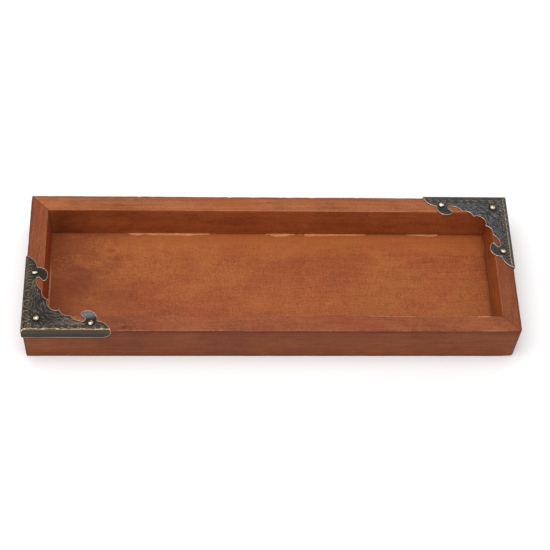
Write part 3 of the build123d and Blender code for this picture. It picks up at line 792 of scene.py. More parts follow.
# ---------------------------------------------------------------- pale beads along the floor
def make_bead(name, along_x, fixed, side, widths, seed, height, material):
    """A thin irregular line of bare wood and glue in the corner between the floor and a rail.
    Its width is given at places along the rail, in mm."""
    places, sizes = np.array(widths, float).T
    s = np.arange(places[0], places[-1] + 0.1, 0.3)
    size = np.interp(s, places, sizes)
    ragged = 1.0 + 0.16 * fbm(line3(s * 0.30, seed), 2, seed) + 0.07 * vnoise(line3(s * 1.5, seed), seed + 3)
    wide = size * ragged
    tall = np.minimum(size, 1.0) * (0.60 + 0.40 * fbm(line3(s * 0.21, 5.0 + seed), 3, seed + 7)) * height
    verts, faces = [], []
    steps = 6
    live = (wide > 0.08).tolist()
    start = None
    runs = []
    for i, on in enumerate(live + [False]):
        if on and start is None:
            start = i
        elif not on and start is not None:
            if i - start > 2:
                runs.append((start, i))
            start = None
    for a, b in runs:
        base = len(verts)
        count = b - a
        for i in range(a, b):
            end = min(1.0, (i - a) / 2.0, (b - 1 - i) / 2.0)
            ww, hh = max(wide[i] * (0.25 + 0.75 * end), 0.05), max(tall[i] * (0.25 + 0.75 * end), 0.03)
            for j in range(steps + 1):
                u = j / steps
                out = ww * u
                up = hh * (1 - u) ** 1.6
                across = fixed + side * (0.02 - out)
                zz = FLOOR - 0.02 + up + (0.03 if 0 < j < steps else 0.0)
                verts.append((s[i], across, zz) if along_x else (across, s[i], zz))
            across = fixed + side * 0.02
            zz = FLOOR - 0.06
            verts.append((s[i], across, zz) if along_x else (across, s[i], zz))
        ring = steps + 2
        for i in range(count - 1):
            for j in range(ring):
                j2 = (j + 1) % ring
                p0, p1 = base + i * ring, base + (i + 1) * ring
                faces.append((p0 + j, p0 + j2, p1 + j2, p1 + j))
        faces.append(tuple(base + j for j in range(ring)))
        faces.append(tuple(base + (count - 1) * ring + j for j in range(ring)))
    if not verts:
        return None
    return make_object(name, verts, faces, material, None, 50.0)


make_bead(
    "bare_line_back", True, HY - RAIL, 1,
    [(-67.0, 0.0), (-65.6, 0.45), (-64.4, 0.95), (-62.6, 1.30), (-60.8, 1.15), (-59.2, 0.70), (-58.3, 0.40),
     (-57.2, 0.60), (-56.0, 0.95), (-49.0, 1.00), (-41.0, 1.00), (-38.8, 1.25), (-36.8, 1.30), (-35.2, 0.95),
     (-33.0, 0.78), (-30.0, 0.62), (-28.2, 0.42), (-27.6, 0.0), (-26.3, 0.0), (-26.0, 0.42), (-25.4, 0.38),
     (-25.1, 0.0), (-2.4, 0.0), (-1.6, 0.35), (0.4, 0.60), (1.4, 1.00), (3.6, 1.45), (6.4, 1.50), (9.0, 1.20),
     (10.2, 0.70), (12.3, 0.50), (12.7, 0.0), (13.7, 0.0), (14.0, 0.34), (15.4, 0.36), (15.8, 0.0), (16.4, 0.0),
     (16.8, 1.05), (20.0, 1.20), (21.0, 0.95), (26.0, 0.92), (32.0, 0.78), (38.0, 0.76), (43.0, 0.80), (45.6, 0.40),
     (46.6, 0.0), (65.0, 0.0), (66.0, 0.30), (69.0, 0.62), (73.5, 0.74), (75.2, 1.05), (78.4, 1.12), (80.2, 0.60),
     (81.2, 0.0)],
    5, 0.34, bare,
)
make_bead(
    "bare_line_left", False, -HX + RAIL + 0.45, -1,
    [(-28.0, 0.6), (-24.0, 0.75), (-19.0, 0.62), (-13.0, 0.80), (-7.0, 0.66), (-2.0, 0.74), (3.0, 0.70), (6.5, 0.62), (8.5, 0.25), (14.0, 0.12), (17.0, 0.0)],
    11, 0.30, bare_red,
)
make_bead("bare_line_right", False, HX - RAIL, 1, [(18.0, 0.0), (19.5, 0.16), (23.5, 0.18), (25.0, 0.0)], 12, 0.30, bare_red)


# ---------------------------------------------------------------- corner plates
def arc3(a, m, b, step):
    """Points from a to b, b left out, on the circle through a, m and b."""
    ax, ay, bx, by, cx, cy = *a, *m, *b
    d = 2 * (ax * (by - cy) + bx * (cy - ay) + cx * (ay - by))
    ux = ((ax**2 + ay**2) * (by - cy) + (bx**2 + by**2) * (cy - ay) + (cx**2 + cy**2) * (ay - by)) / d
    uy = ((ax**2 + ay**2) * (cx - bx) + (bx**2 + by**2) * (ax - cx) + (cx**2 + cy**2) * (bx - ax)) / d
    r = math.hypot(ax - ux, ay - uy)
    t0, t1, t2 = (math.atan2(p[1] - uy, p[0] - ux) for p in (a, m, b))
    turn = (t2 - t0) % (2 * math.pi)
    if (t1 - t0) % (2 * math.pi) > turn:
        turn -= 2 * math.pi
    n = max(2, int(abs(turn) * r / step))
    return [(ux + r * math.cos(t0 + turn * k / n), uy + r * math.sin(t0 + turn * k / n)) for k in range(n)]


def straight(a, b, step):
    n = max(1, int(math.hypot(b[0] - a[0], b[1] - a[1]) / step))
    return [(a[0] + (b[0] - a[0]) * k / n, a[1] + (b[1] - a[1]) * k / n) for k in range(n)]


STEP = 0.17
CONTOUR = (
    arc3((38.6, 0.0), (37.0, 2.75), (32.65, 5.05), STEP)
    + arc3((32.65, 5.05), (29.85, 9.66), (25.602, 8.963), STEP)
    + arc3((25.602, 8.963), (25.25, 8.22), (25.612, 7.479), STEP)
    + straight((25.612, 7.479), (26.946, 6.428), STEP)
    + arc3((26.946, 6.428), (27.263, 5.65), (26.453, 4.911), STEP)
    + arc3((26.453, 4.911), (24.0, 5.28), (20.75, 7.75), STEP)
    + arc3((20.75, 7.75), (17.65, 8.25), (15.85, 10.75), STEP)
    + arc3((15.85, 10.75), (13.45, 10.45), (11.6, 11.6), STEP)
    + [(11.6, 11.6)]
)
BEND = 1.1
FLAT_FROM = -SHEET + BEND  # where the flat top ends and the bend begins
SKIRT_FROM = FLAT_FROM - BEND * math.pi / 2
SKIRT_TO = SKIRT_FROM - (4.9 + SHEET - BEND)
SKIRT_END = 4.2  # rounding of the skirt's far end
BEAD_AT = FLAT_FROM + 0.36  # the bead that runs beside the fold, on the top
NAILS = {
    "front_left": [(6.0, 6.3), (29.8, 3.9), (4.0, 29.7)],
    "back_right": [(6.2, 5.5), (30.2, 4.2), (4.0, 29.8)],
}


def fold_place(q, crisp=2.0):
    """(y, z above the wood, normal y, normal z) on the outer face of the sheet, at arc length q.
    With crisp at 2 the bend is round, and above that it is pressed squarer."""
    q = np.asarray(q, float)
    th = np.clip((FLAT_FROM - q) / BEND, 0, math.pi / 2)
    si, co = np.sin(th), np.cos(th)
    out = (si**crisp + co**crisp) ** (-1.0 / crisp)
    y = np.where(q >= FLAT_FROM, q, FLAT_FROM - BEND * si * out)
    z = SHEET - BEND + BEND * co * out - np.maximum(SKIRT_FROM - q, 0)
    return y, z, -si, co


def segments_distance(px, py, line, reach=None):
    """Distance from every point to a polyline, and how far along it the nearest place is, from 0 to 1.
    Points further than reach from the line's box are given a large distance."""
    line = np.asarray(line, float)
    if reach is not None:
        (lx, ly), (hx, hy) = line.min(0) - reach, line.max(0) + reach
        close = (px > lx) & (px < hx) & (py > ly) & (py < hy)
        best, where = np.full(len(px), 1e3), np.zeros(len(px))
        if close.any():
            best[close], where[close] = segments_distance(px[close], py[close], line)
        return best, where
    a, b = line[:-1], line[1:]
    lengths = np.hypot(*(b - a).T)
    before = np.concatenate([[0], np.cumsum(lengths)])[:-1]
    total = lengths.sum()
    best = np.full(len(px), 1e9)
    where = np.zeros(len(px))
    for (x0, y0), (x1, y1), length, start in zip(a, b, lengths, before):
        if length < 1e-9:
            continue
        t = np.clip(((px - x0) * (x1 - x0) + (py - y0) * (y1 - y0)) / length**2, 0, 1)
        d = np.hypot(px - x0 - t * (x1 - x0), py - y0 - t * (y1 - y0))
        closer = d < best
        best = np.where(closer, d, best)
        where = np.where(closer, (start + t * length) / total, where)
    return best, where


def inside(px, py, loop):
    loop = np.asarray(loop, float)
    crossings = np.zeros(len(px), int)
    for (x0, y0), (x1, y1) in zip(loop, np.roll(loop, -1, 0)):
        hit = (y0 > py) != (y1 > py)
        with np.errstate(divide="ignore", invalid="ignore"):
            xi = x0 + (py - y0) * (x1 - x0) / (y1 - y0)
        crossings += hit & (px < xi)
    return crossings % 2 == 1


def curve(points, n=10):
    """A smooth line through the points."""
    p = np.asarray(points, float)
    p = np.concatenate([[2 * p[0] - p[1]], p, [2 * p[-1] - p[-2]]])
    out = []
    for i in range(1, len(p) - 2):
        for k in range(n):
            t = k / n
            out.append(
                0.5 * (
                    2 * p[i]
                    + (p[i + 1] - p[i - 1]) * t
                    + (2 * p[i - 1] - 5 * p[i] + 4 * p[i + 1] - p[i + 2]) * t**2
                    + (3 * p[i] - p[i - 1] - 3 * p[i + 1] + p[i + 2]) * t**3
                )
            )
    out.append(p[-2])
    return np.array(out)


def spiral(cx, cy, r0, r1, a0, turns, n=26):
    a = np.radians(a0) + np.linspace(0, 2 * math.pi * turns, n)
    r = np.linspace(r0, r1, n)
    return np.stack([cx + r * np.cos(a), cy + r * np.sin(a)], 1)


ROOF = [(9.6, 12.4), (11.6, 11.3), (13.4, 10.2), (15.8, 10.0), (17.6, 7.8), (20.7, 7.2), (23.4, 5.1), (26.6, 4.6), (30.5, 5.4), (33.5, 4.0), (37.0, 1.6)]
ROOF_X, ROOF_Y = [p[0] for p in ROOF], [p[1] for p in ROOF]


def roof(x):
    return float(np.interp(x, ROOF_X, ROOF_Y))


def ornament(kind):
    """Raised lines of one half of a plate, as (points, width, height), in the flat sheet's coordinates.
    The border of a long arm is a low line of arches, and that of a short arm a chain of curls."""
    rng = np.random.default_rng(77)
    lines = []

    def add(points, width, height, n=8):
        lines.append((curve(points, n), width, height))

    y0 = BEAD_AT
    if kind == "long":
        x = 1.6
        while x < 35.0:
            unit = rng.uniform(2.6, 4.2)
            tall = rng.uniform(0.8, 1.15) * (1.0 if x < 28 else 0.7)
            add([(x, y0 + 0.05), (x + 0.14 * unit, y0 + 0.62 * tall), (x + 0.42 * unit, y0 + 0.88 * tall), (x + 0.70 * unit, y0 + 0.55 * tall), (x + 0.86 * unit, y0 + 0.05)], 0.15, 1.0)
            if rng.uniform() < 0.75:
                add([(x + 0.40 * unit, y0 + 0.9 * tall), (x + 0.22 * unit, y0 + 1.55 * tall), (x + 0.45 * unit, y0 + 2.05 * tall), (x + 0.66 * unit, y0 + 1.60 * tall)], 0.15, 0.9)
            add([(x + 0.62 * unit, y0 - 0.25), (x + 0.50 * unit, y0 - 0.8), (x + 0.56 * unit, y0 - 1.5)], 0.16, 0.6)
            x += unit
    else:
        x = 0.5
        while x < 21.0:
            k = rng.uniform(0.94, 1.08)
            add([(x + 0.3, 3.0), (x + 0.1, 1.7), (x + 0.8 * k, 0.5), (x + 2.2 * k, -0.05), (x + 3.6 * k, 0.5), (x + 4.15 * k, 1.6),
                 (x + 3.5 * k, 2.45), (x + 2.5 * k, 2.3), (x + 2.2 * k, 1.55), (x + 2.8 * k, 1.15)], 0.20, 1.0)
            add([(x + 1.0, 2.8), (x + 1.5, 2.0), (x + 1.35, 1.3)], 0.17, 0.85)
            add([(x + 4.1 * k, 1.75), (x + 4.7 * k, 2.6), (x + 5.2 * k, 3.2)], 0.17, 0.85)
            add([(x + 3.9 * k, 0.4), (x + 4.6 * k, -0.1), (x + 5.3 * k, -0.4)], 0.17, 0.8)
            x += 5.3 * k
        while x < 36.0:
            room = max(0.3, min(1.0, (38.0 - x) / 5.0))
            add([(x, 0.0), (x + 0.55, 0.9 * room), (x + 1.25, 1.5 * room), (x + 1.4, 2.7 * room)], 0.20, 1.0)
            add([(x + 0.9, 0.1), (x + 1.5, 0.8 * room), (x + 1.9, 0.9 * room)], 0.15, 0.8)
            x += rng.uniform(1.35, 1.75)
    # flames that flow along the arm and turn the corner across the diagonal
    for row, f in enumerate((0.02, 0.22, 0.44, 0.66, 0.90)):
        d0 = 7.9 + 2.9 * f
        xs = np.linspace(d0 + 2.2, 26.8 - 1.5 * f, 36)
        low = 3.5
        span = np.array([max(roof(v) - 0.80 - low, 0.0) for v in xs])
        ys = low + f * span + 0.24 * np.sin(1.35 * xs + 2.3 * row)
        live = span > 0.30 + 0.7 * (row % 2)
        xs, ys = xs[live], ys[live]
        head = [(d0, d0), (d0 + 0.45, d0 - 0.45), (d0 + 1.2, d0 - 0.75 * 1.2 + 0.15 * (ys[0] - d0 + 2.0))]
        base = curve(np.concatenate([np.array(head), np.stack([xs, ys], 1)]), 3)
        x = d0 + 0.1 + 1.3 * (row % 2) + rng.uniform(0, 0.4)
        end = xs[-1]
        while x < end - 0.8:
            long = rng.uniform(1.9, 3.6)
            t = np.array([0.0, 0.25, 0.55, 0.8, 1.0]) * long
            bx = np.minimum(x + t, end)
            by = np.interp(bx, base[:, 0], base[:, 1]) + np.array([-0.22, -0.02, 0.10, 0.36, 0.72])
            lines.append((curve(np.stack([x + t, by], 1), 5), 0.21, 1.0))
            if long > 2.4:
                vx = x + 0.30 * long
                vy = float(np.interp(vx, base[:, 0], base[:, 1]))
                add([(vx, vy - 0.10), (vx + 0.6, vy - 0.38), (vx + 1.4, vy - 0.34)], 0.17, 0.85, 5)
            x += long * rng.uniform(0.72, 0.88)
    # curls at the ends of the leaves under each cusp
    lines.append((spiral(13.5, 8.8, 1.0, 0.25, 200, 1.1), 0.21, 1.0))
    lines.append((spiral(18.3, 6.5, 0.8, 0.25, 190, 1.1), 0.20, 0.95))
    lines.append((spiral(24.2, 3.7, 0.55, 0.20, 150, 1.0), 0.18, 0.8))
    # a small palmette in the middle of the plate
    add([(9.9, 9.9), (10.6, 10.6)], 0.22, 0.9)
    add([(10.0, 9.6), (10.9, 10.1), (11.1, 10.6)], 0.18, 0.9)
    # broken rings round the nails, and curling petals behind the corner nail
    for nx, ny, r, gaps in ((6.05, 6.05, 2.15, (20, 150, 165, 300)), (29.95, 4.05, 2.0, (100, 220, 240, 40 + 360))):
        for g0, g1 in ((gaps[0], gaps[1]), (gaps[2], gaps[3])):
            a = np.radians(np.linspace(g0, g1, 26))
            lines.append((np.stack([nx + r * np.cos(a), ny + r * np.sin(a)], 1), 0.17, 0.8))
    for i, a in enumerate(range(-150, 46, 28)):
        ca, sa = math.cos(math.radians(a)), math.sin(math.radians(a))
        long = 4.1 if i % 2 else 3.5
        bend = 0.55 if i % 2 else 0.35
        add([(6.05 + 2.5 * ca, 6.05 + 2.5 * sa), (6.05 + 0.5 * (2.4 + long) * ca + bend * sa, 6.05 + 0.5 * (2.4 + long) * sa - bend * ca),
             (6.05 + long * ca + 0.25 * sa, 6.05 + long * sa - 0.25 * ca), (6.05 + (long + 0.1) * ca - 0.4 * sa, 6.05 + (long + 0.1) * sa + 0.4 * ca)], 0.21, 0.95, 5)
    # the hook: a line inside its edge
    add([(32.2, 6.0), (31.5, 7.5), (30.0, 8.5), (28.2, 8.75), (26.9, 8.5)], 0.14, 0.35)
    # leaves that point down the arm's tip
    add([(32.0, 3.6), (34.0, 3.2), (36.0, 1.9)], 0.19, 0.7)
    add([(32.2, 4.4), (33.3, 4.1), (34.6, 3.3)], 0.15, 0.6)
    # the skirt: a faint running line and short leaves, and curls at its far end
    s0, s1 = SKIRT_FROM, SKIRT_TO
    add([(0.6, s1 + 0.95), (12, s1 + 0.9), (24, s1 + 0.95), (33.8, s1 + 1.0), (36.3, s1 + 1.9), (37.5, s0 - 0.5), (37.7, s0 + 0.6)], 0.16, 0.55)
    x = 2.2
    while x < 32:
        add([(x, s1 + 1.3), (x + 0.8, s1 + 2.3), (x + 2.0, s1 + 2.9), (x + 2.8, s1 + 2.3)], 0.16, 0.60, 6)
        add([(x + 1.3, s1 + 1.4), (x + 1.9, s1 + 1.9), (x + 2.5, s1 + 1.8)], 0.14, 0.50, 5)
        x += 3.3
    lines.append((spiral(35.3, s1 + 2.7, 0.95, 0.25, 250, 1.2), 0.20, 0.9))
    lines.append((spiral(33.2, s1 + 2.2, 0.70, 0.20, 60, 1.1), 0.18, 0.75))
    return lines


def half_loop():
    """Outline of one half of the flat sheet. The mitre is first, then the skirt, then the contour."""
    loop, weld = [], []
    for p in straight((11.6, 11.6), (FLAT_FROM, FLAT_FROM), STEP):
        loop.append(p)
        weld.append(True)
    n = 7
    for k in range(n):
        th = math.pi / 2 * k / n
        q = FLAT_FROM - BEND * th
        y = FLAT_FROM - BEND * math.sin(th)
        open_ = 0.0 if k < n - 2 else 0.03 * (k - (n - 3))
        loop.append((y + open_, q))
        weld.append(open_ == 0.0)
    skirt = straight((-SHEET + 0.07, SKIRT_FROM), (-SHEET + 0.07, SKIRT_TO + 0.9), STEP)
    skirt += arc3((-SHEET + 0.07, SKIRT_TO + 0.9), (-SHEET + 0.07 + 0.9 * 0.293, SKIRT_TO + 0.9 * 0.293), (-SHEET + 0.97, SKIRT_TO), STEP)
    skirt += straight((-SHEET + 0.97, SKIRT_TO), (ARM - SKIRT_END, SKIRT_TO), STEP)
    skirt += arc3(
        (ARM - SKIRT_END, SKIRT_TO),
        (ARM - SKIRT_END * 0.293, SKIRT_TO + SKIRT_END * 0.293),
        (ARM, SKIRT_TO + SKIRT_END),
        STEP,
    )
    skirt += straight((ARM, SKIRT_TO + SKIRT_END), (ARM, 0.0), STEP)
    loop += skirt
    weld += [False] * len(skirt)
    edge_from = len(loop) - len(skirt)
    loop += CONTOUR[:-1]
    weld += [False] * (len(CONTOUR) - 1)
    weld[0] = True
    return loop, weld, edge_from


def sheet_half(seed, beads):
    """Triangles of one half's outer face, with its places, relief and masks. Relief and bead are per arm."""
    loop, weld, edge_from = half_loop()
    loop_a = np.array(loop)
    edge = np.concatenate([loop_a[edge_from:], loop_a[:1]])
    seam_side = edge[: int(4.6 / STEP)]
    spacing = 0.185
    xs = np.arange(-SHEET, ARM + 0.1, spacing)
    ys = np.arange(SKIRT_TO, 12.0, spacing * 0.866)
    X, Y = np.meshgrid(xs, ys)
    X = X + (np.arange(len(ys)) % 2)[:, None] * spacing / 2
    px, py = X.ravel(), Y.ravel()
    keep = inside(px, py, loop_a)
    px, py = px[keep], py[keep]
    to_loop, _ = segments_distance(px, py, np.concatenate([loop_a, loop_a[:1]]))
    keep = to_loop > 0.085
    px, py = px[keep], py[keep]
    all_x, all_y = np.concatenate([loop_a[:, 0], px]), np.concatenate([loop_a[:, 1], py])
    n_loop = len(loop_a)
    coords = [Vector((float(a), float(b))) for a, b in zip(all_x, all_y)]
    edges = [(i, (i + 1) % n_loop) for i in range(n_loop)]
    got, _, tris, origin, _, _ = delaunay_2d_cdt(coords, edges, [], 1, 1e-6)
    assert len(got) == len(coords), (len(got), len(coords))
    order = [o[0] for o in origin]
    tris = [tuple(order[i] for i in t) for t in tris]
    flat = np.stack([all_x, all_y, np.zeros_like(all_x)], 1)
    # relief. The stamping is a little uneven, so the lines wander by a hair.
    to_edge, _ = segments_distance(all_x, all_y, edge)
    shaken_x = all_x + 0.07 * fbm(flat * 0.9, 2, 300 + seed)
    shaken_y = all_y + 0.07 * fbm(flat * 0.9, 2, 340 + seed)
    clear = smooth(to_edge, 0.34, 0.70)
    uneven = 0.82 + 0.25 * fbm(flat * 0.35, 2, 400 + seed)
    heights = []
    for kind in ("long", "short"):
        height = np.zeros(len(all_x))
        for points, width, tall in ornament(kind):
            d, t = segments_distance(shaken_x, shaken_y, points, 1.2)
            taper = 0.45 + 0.55 * np.sin(np.pi * np.clip(t * 0.9 + 0.08, 0, 1))
            ridge = np.exp(-((d / (width * taper + 0.02)) ** 2)) * tall * (0.6 + 0.4 * taper)
            height = np.maximum(height, ridge)
        heights.append(height * clear * uneven)
    pits = 0.5 + 0.5 * vnoise(flat * 2.3, 61 + seed)
    # the raised rim, which the wear has left brighter in some places than in others
    rim_wide = 0.17 + 0.20 * (1 - smooth(all_y, SKIRT_TO + 0.8, SKIRT_TO + 2.2))
    rim = np.exp(-(((to_edge - rim_wide) / 0.17) ** 2))
    rim = np.where(to_edge < rim_wide, 1.0, rim)
    # the bead beside the fold, pressed by hand tools and so a little wavy; where it runs down the mitre to the corner
    # it is a painted highlight of the lit seam edge
    along_x = np.stack([all_x * 0.42, 0 * all_x, 0 * all_x], 1)
    sway = (0.17 + 0.09 * (1 - smooth(all_x, 10, 20))) * fbm(along_x, 2, 500 + seed)
    thick = 0.195 + 0.05 * vnoise(along_x * 2.0, 520 + seed)
    bead_line = [(q_, q_) for q_ in (0.92, 0.72, 0.52)] + [(float(fold_place(q_)[0]) + 0.05, q_) for q_ in (0.24, -0.05, -0.35, -0.65, -0.95, -1.25)]
    seam_highlight, _ = segments_distance(all_x, all_y, curve(bead_line, 6), 1.5)
    seam_highlight = np.exp(-((seam_highlight / 0.24) ** 2)) * (all_x < 1.0)
    bead = np.exp(-(((all_y - BEAD_AT - sway) / thick) ** 2)) * smooth(all_x, 0.35, 0.75)
    bead = np.maximum(bead, seam_highlight)
    bend = smooth(all_y, SKIRT_FROM - 0.2, SKIRT_FROM + 0.2) * (1 - smooth(all_y, FLAT_FROM - 0.25, FLAT_FROM + 0.05))
    upright = 1 - smooth(all_y, SKIRT_FROM - 0.3, SKIRT_FROM + 0.3)
    # both arms are alike where they meet
    apart = smooth(all_x - fold_place(all_y)[0], 0.0, 0.6)
    sinks, reliefs, folds = [], [], []
    near_edge = 1 - smooth(to_edge, 0.0, 0.12)
    for k in (0, 1):
        height = heights[0] * (1 - apart) + heights[k] * apart
        raised = np.clip(beads[k] * 1.7, 0.25, 1.0) * apart + (1 - apart)
        rise = np.maximum(height, rim * 0.92)
        rise = np.maximum(rise, bead * raised)
        rise = rise + 0.12 * pits * (1 - rise)
        # the metal stays flush where it was folded, and the stamping is shallow on the skirt
        rise = rise + 0.55 * upright * (1 - rise)
        rise = np.minimum(np.maximum(rise, bend * 0.80), 1.0)
        sinks.append(0.02 + 0.30 * (1 - rise) + 0.09 * near_edge)
        reliefs.append(np.clip(height, 0, 1))
        folds.append(np.maximum(bead * beads[k], seam_highlight * beads[0]))
    # how bright the rim is
    on_skirt = 1 - smooth(all_y, SKIRT_FROM - 0.5, FLAT_FROM)
    seam_near, _ = segments_distance(all_x, all_y, seam_side, 1.2)
    lower = 1 - smooth(all_y, SKIRT_TO + 0.25, SKIRT_TO + 0.7)
    polish = 0.97 + 0.22 * fbm(flat * 0.16, 2, 600 + seed)
    polish = polish * (1 - 0.22 * on_skirt * lower) * smooth(seam_near, 0.3, 0.8)
    border = 1 - smooth(all_y, 2.9, 3.7)
    border = border * (1 - 0.60 * (1 - smooth(all_y, SKIRT_FROM - 1.8, SKIRT_FROM + 0.3)))
    return {
        "x": all_x, "q": all_y, "tris": tris, "loop": n_loop, "weld": weld, "sink": sinks,
        "relief": reliefs, "rim": np.clip(rim * polish, 0, 1), "fold": folds, "border": border,
    }


def plate_mesh(where, seed, lift, flare, crisp, beads, hook_highlight):
    """Both halves, both faces and the cut edge, in the corner's own coordinates: u, v, and z above the wood.
    lift raises the hook of each arm, beads is how bright the bead on each arm is, and the last argument is a painted
    highlight on the hook lobes."""
    h = sheet_half(seed, beads)
    x, q = h["x"], h["q"]
    y, z, ny, nz = fold_place(q, crisp)
    n = len(x)

    def side(thick, swap):
        """Places at a depth under the outer face."""
        depth = thick
        yy, zz = y - ny * depth, z - nz * depth
        shift = (yy - y) * (1 - np.clip((x - y) / 2.0, 0, 1)) * (ny < -1e-6)
        xx = x + shift
        # the skirt leans out a little towards its lower edge, inside the nominal box
        if flare:
            yy = yy + 0.10 * smooth(q, SKIRT_FROM, SKIRT_FROM - 1.5) * (1 - smooth(q, SKIRT_TO + 2.2, SKIRT_TO))
        # a hook that was bent up a little
        up = lift[1 if swap else 0]
        if up:
            zz = zz + up * hook
        return np.stack([yy, xx, zz], 1) if swap else np.stack([xx, yy, zz], 1)

    hook = smooth(y - 0.35 * (x - 28.5), 5.6, 9.6) * (x > 24.5) * (x < 34) * (q > FLAT_FROM)
    lobe = smooth(y - 0.25 * (x - 28.5), 5.2, 8.6) * (x > 24.5) * (x < 34) * (q > FLAT_FROM)
    under = np.full(n, SHEET - 0.02)
    verts = np.concatenate([side(h["sink"][0], False), side(under, False), side(h["sink"][1], True), side(under, True)])
    faces = []
    for a, b, c in h["tris"]:
        faces.append((a, b, c))
        faces.append((n + a, n + c, n + b))
        faces.append((2 * n + a, 2 * n + c, 2 * n + b))
        faces.append((3 * n + a, 3 * n + b, 3 * n + c))
    m = h["loop"]
    for i in range(m):
        j = (i + 1) % m
        if h["weld"][i] and h["weld"][j]:
            continue
        faces.append((i, n + i, n + j, j))
        faces.append((2 * n + i, 2 * n + j, 3 * n + j, 3 * n + i))
    zero = np.zeros(n)
    masks = {k: np.concatenate([h[k], zero, h[k], zero]) for k in ("rim", "border")}
    masks["relief"] = np.concatenate([h["relief"][0], zero, h["relief"][1], zero])
    masks["fold"] = np.concatenate([h["fold"][0], zero, h["fold"][1], zero])
    masks["skirt"] = np.concatenate([1 - smooth(q, SKIRT_FROM - 2.4, FLAT_FROM - 0.1)] * 4)
    masks["hook_highlight"] = np.concatenate([lobe * hook_highlight[0], zero, lobe * hook_highlight[1], zero])
    # painted shade: a dark ring on the sheet round each nail head, standing in for the head's shadow
    halo = np.zeros(4 * n)
    for u, v in NAILS[where]:
        d = np.hypot(verts[:, 0] - u, verts[:, 1] - v)
        ring = np.where(d < 1.45, 1.0, np.exp(-(((d - 1.45) / 0.42) ** 2)))
        halo = np.maximum(halo, ring * (verts[:, 2] > 0.0))
        # the sheet is pressed down a little round each nail
        outer = np.zeros(4 * n, bool)
        outer[:n] = outer[2 * n : 3 * n] = True
        verts[:, 2] -= np.where(outer, 0.06 * np.exp(-((d / 2.2) ** 2)), 0.0)
    masks["halo"] = halo
    return verts, faces, masks


def place_plate(verts, where):
    v = verts.copy()
    if where == "front_left":
        v[:, 0], v[:, 1] = -HX + verts[:, 0], -HY + verts[:, 1]
    else:
        v[:, 0], v[:, 1] = HX - verts[:, 0], HY - verts[:, 1]
    v[:, 2] = HEIGHT + verts[:, 2]
    return v


for where, seed, lift, flare, crisp, beads, hook_highlight, material in (
    ("front_left", 1, (0.60, 0.12), True, 2.4, (1.0, 0.0), (0.50, 0.0), bronze_warm),
    ("back_right", 2, (0.10, 0.10), False, 4.5, (0.22, 0.62), (0.0, 0.0), bronze_cool),
):
    verts, faces, masks = plate_mesh(where, seed, lift, flare, crisp, beads, hook_highlight)
    make_object(
        "embossed_plate_" + where, place_plate(verts, where), faces, material,
        masks, 50.0, ["corner_plate_" + where],
    )


# ---------------------------------------------------------------- nails
def make_nail(name, at, seed, node, oval, turn, low, dimple):
    """Oval and turn are how the head is squashed, low how flat it was driven, and dimple the place and size
    of the shallow dimple that carries a painted dark reflection."""
    head_r, head_h, rim, shank, deep, tip = 1.35, 0.95, 0.12, 0.55, 8.6, 1.2
    dome_r = (head_r**2 + (head_h - rim) ** 2) / (2 * (head_h - rim))
    profile = [(0.0, -deep), (shank * 0.35, -deep + 0.35), (shank, -deep + tip), (shank, -4.0), (shank, -0.1), (shank + 0.1, 0.0), (head_r - 0.15, 0.0), (head_r - 0.03, 0.03), (head_r, 0.09)]
    top_angle = math.asin(head_r / dome_r)
    for k in range(9):
        a = top_angle * (1 - (k + 0.35) / 9.0)
        profile.append((dome_r * math.sin(a), head_h - dome_r + dome_r * math.cos(a)))
    sides = 36
    verts = []
    for r, z in profile[1:]:
        for k in range(sides):
            a = 2 * math.pi * k / sides
            verts.append((r * math.cos(a), r * math.sin(a), z))
    verts.append((0, 0, -deep))
    verts.append((0, 0, head_h))
    v = np.array(verts)
    # hammered head: a few shallow flats, a slightly oval rim
    head = v[:, 2] > 0.02
    direction = v / np.maximum(np.linalg.norm(v, axis=1), 1e-6)[:, None]
    rng = np.random.default_rng(1000 + seed)
    for _ in range(5):
        a = rng.uniform(0, 2 * math.pi)
        tilt = rng.uniform(0.1, 0.85)
        nrm = np.array([math.sin(tilt) * math.cos(a), math.sin(tilt) * math.sin(a), math.cos(tilt)])
        limit = (v[head] @ nrm).max() - rng.uniform(0.03, 0.09)
        over = np.maximum(v @ nrm - limit, 0) * head
        v = v - over[:, None] * nrm * 0.85
    # a head that was driven askew is oval
    ct, st = math.cos(turn), math.sin(turn)
    a_, b_ = v[:, 0] * ct + v[:, 1] * st, (v[:, 1] * ct - v[:, 0] * st) * oval
    cap = v[:, 2] > -0.01
    v[:, 0] = np.where(cap, a_ * ct - b_ * st, v[:, 0])
    v[:, 1] = np.where(cap, a_ * st + b_ * ct, v[:, 1])
    v[:, 2] = np.where(head & (v[:, 2] > 0.06), v[:, 2] - 0.02 + 0.012 * vnoise(v * 2.2, seed), v[:, 2])
    spot_x, spot_y, spot_r = dimple
    dark_reflection = np.exp(-(((v[:, 0] - spot_x) ** 2 + (v[:, 1] - spot_y) ** 2) / spot_r**2)) * head
    v[:, 2] = np.where(head & (v[:, 2] > 0.06), 0.06 + (v[:, 2] - 0.06) * low - 0.07 * dark_reflection, v[:, 2])
    rings = len(profile) - 1
    faces = []
    for i in range(rings - 1):
        for k in range(sides):
            k2 = (k + 1) % sides
            faces.append((i * sides + k, i * sides + k2, (i + 1) * sides + k2, (i + 1) * sides + k))
    low, high = rings * sides, rings * sides + 1
    for k in range(sides):
        k2 = (k + 1) % sides
        faces.append((low, k2, k))
        faces.append((high, (rings - 1) * sides + k, (rings - 1) * sides + k2))
    v = v + np.array([at[0], at[1], HEIGHT + SHEET])
    return make_object(name, v, faces, brass, {"dark_reflection": dark_reflection}, 60.0, [node])
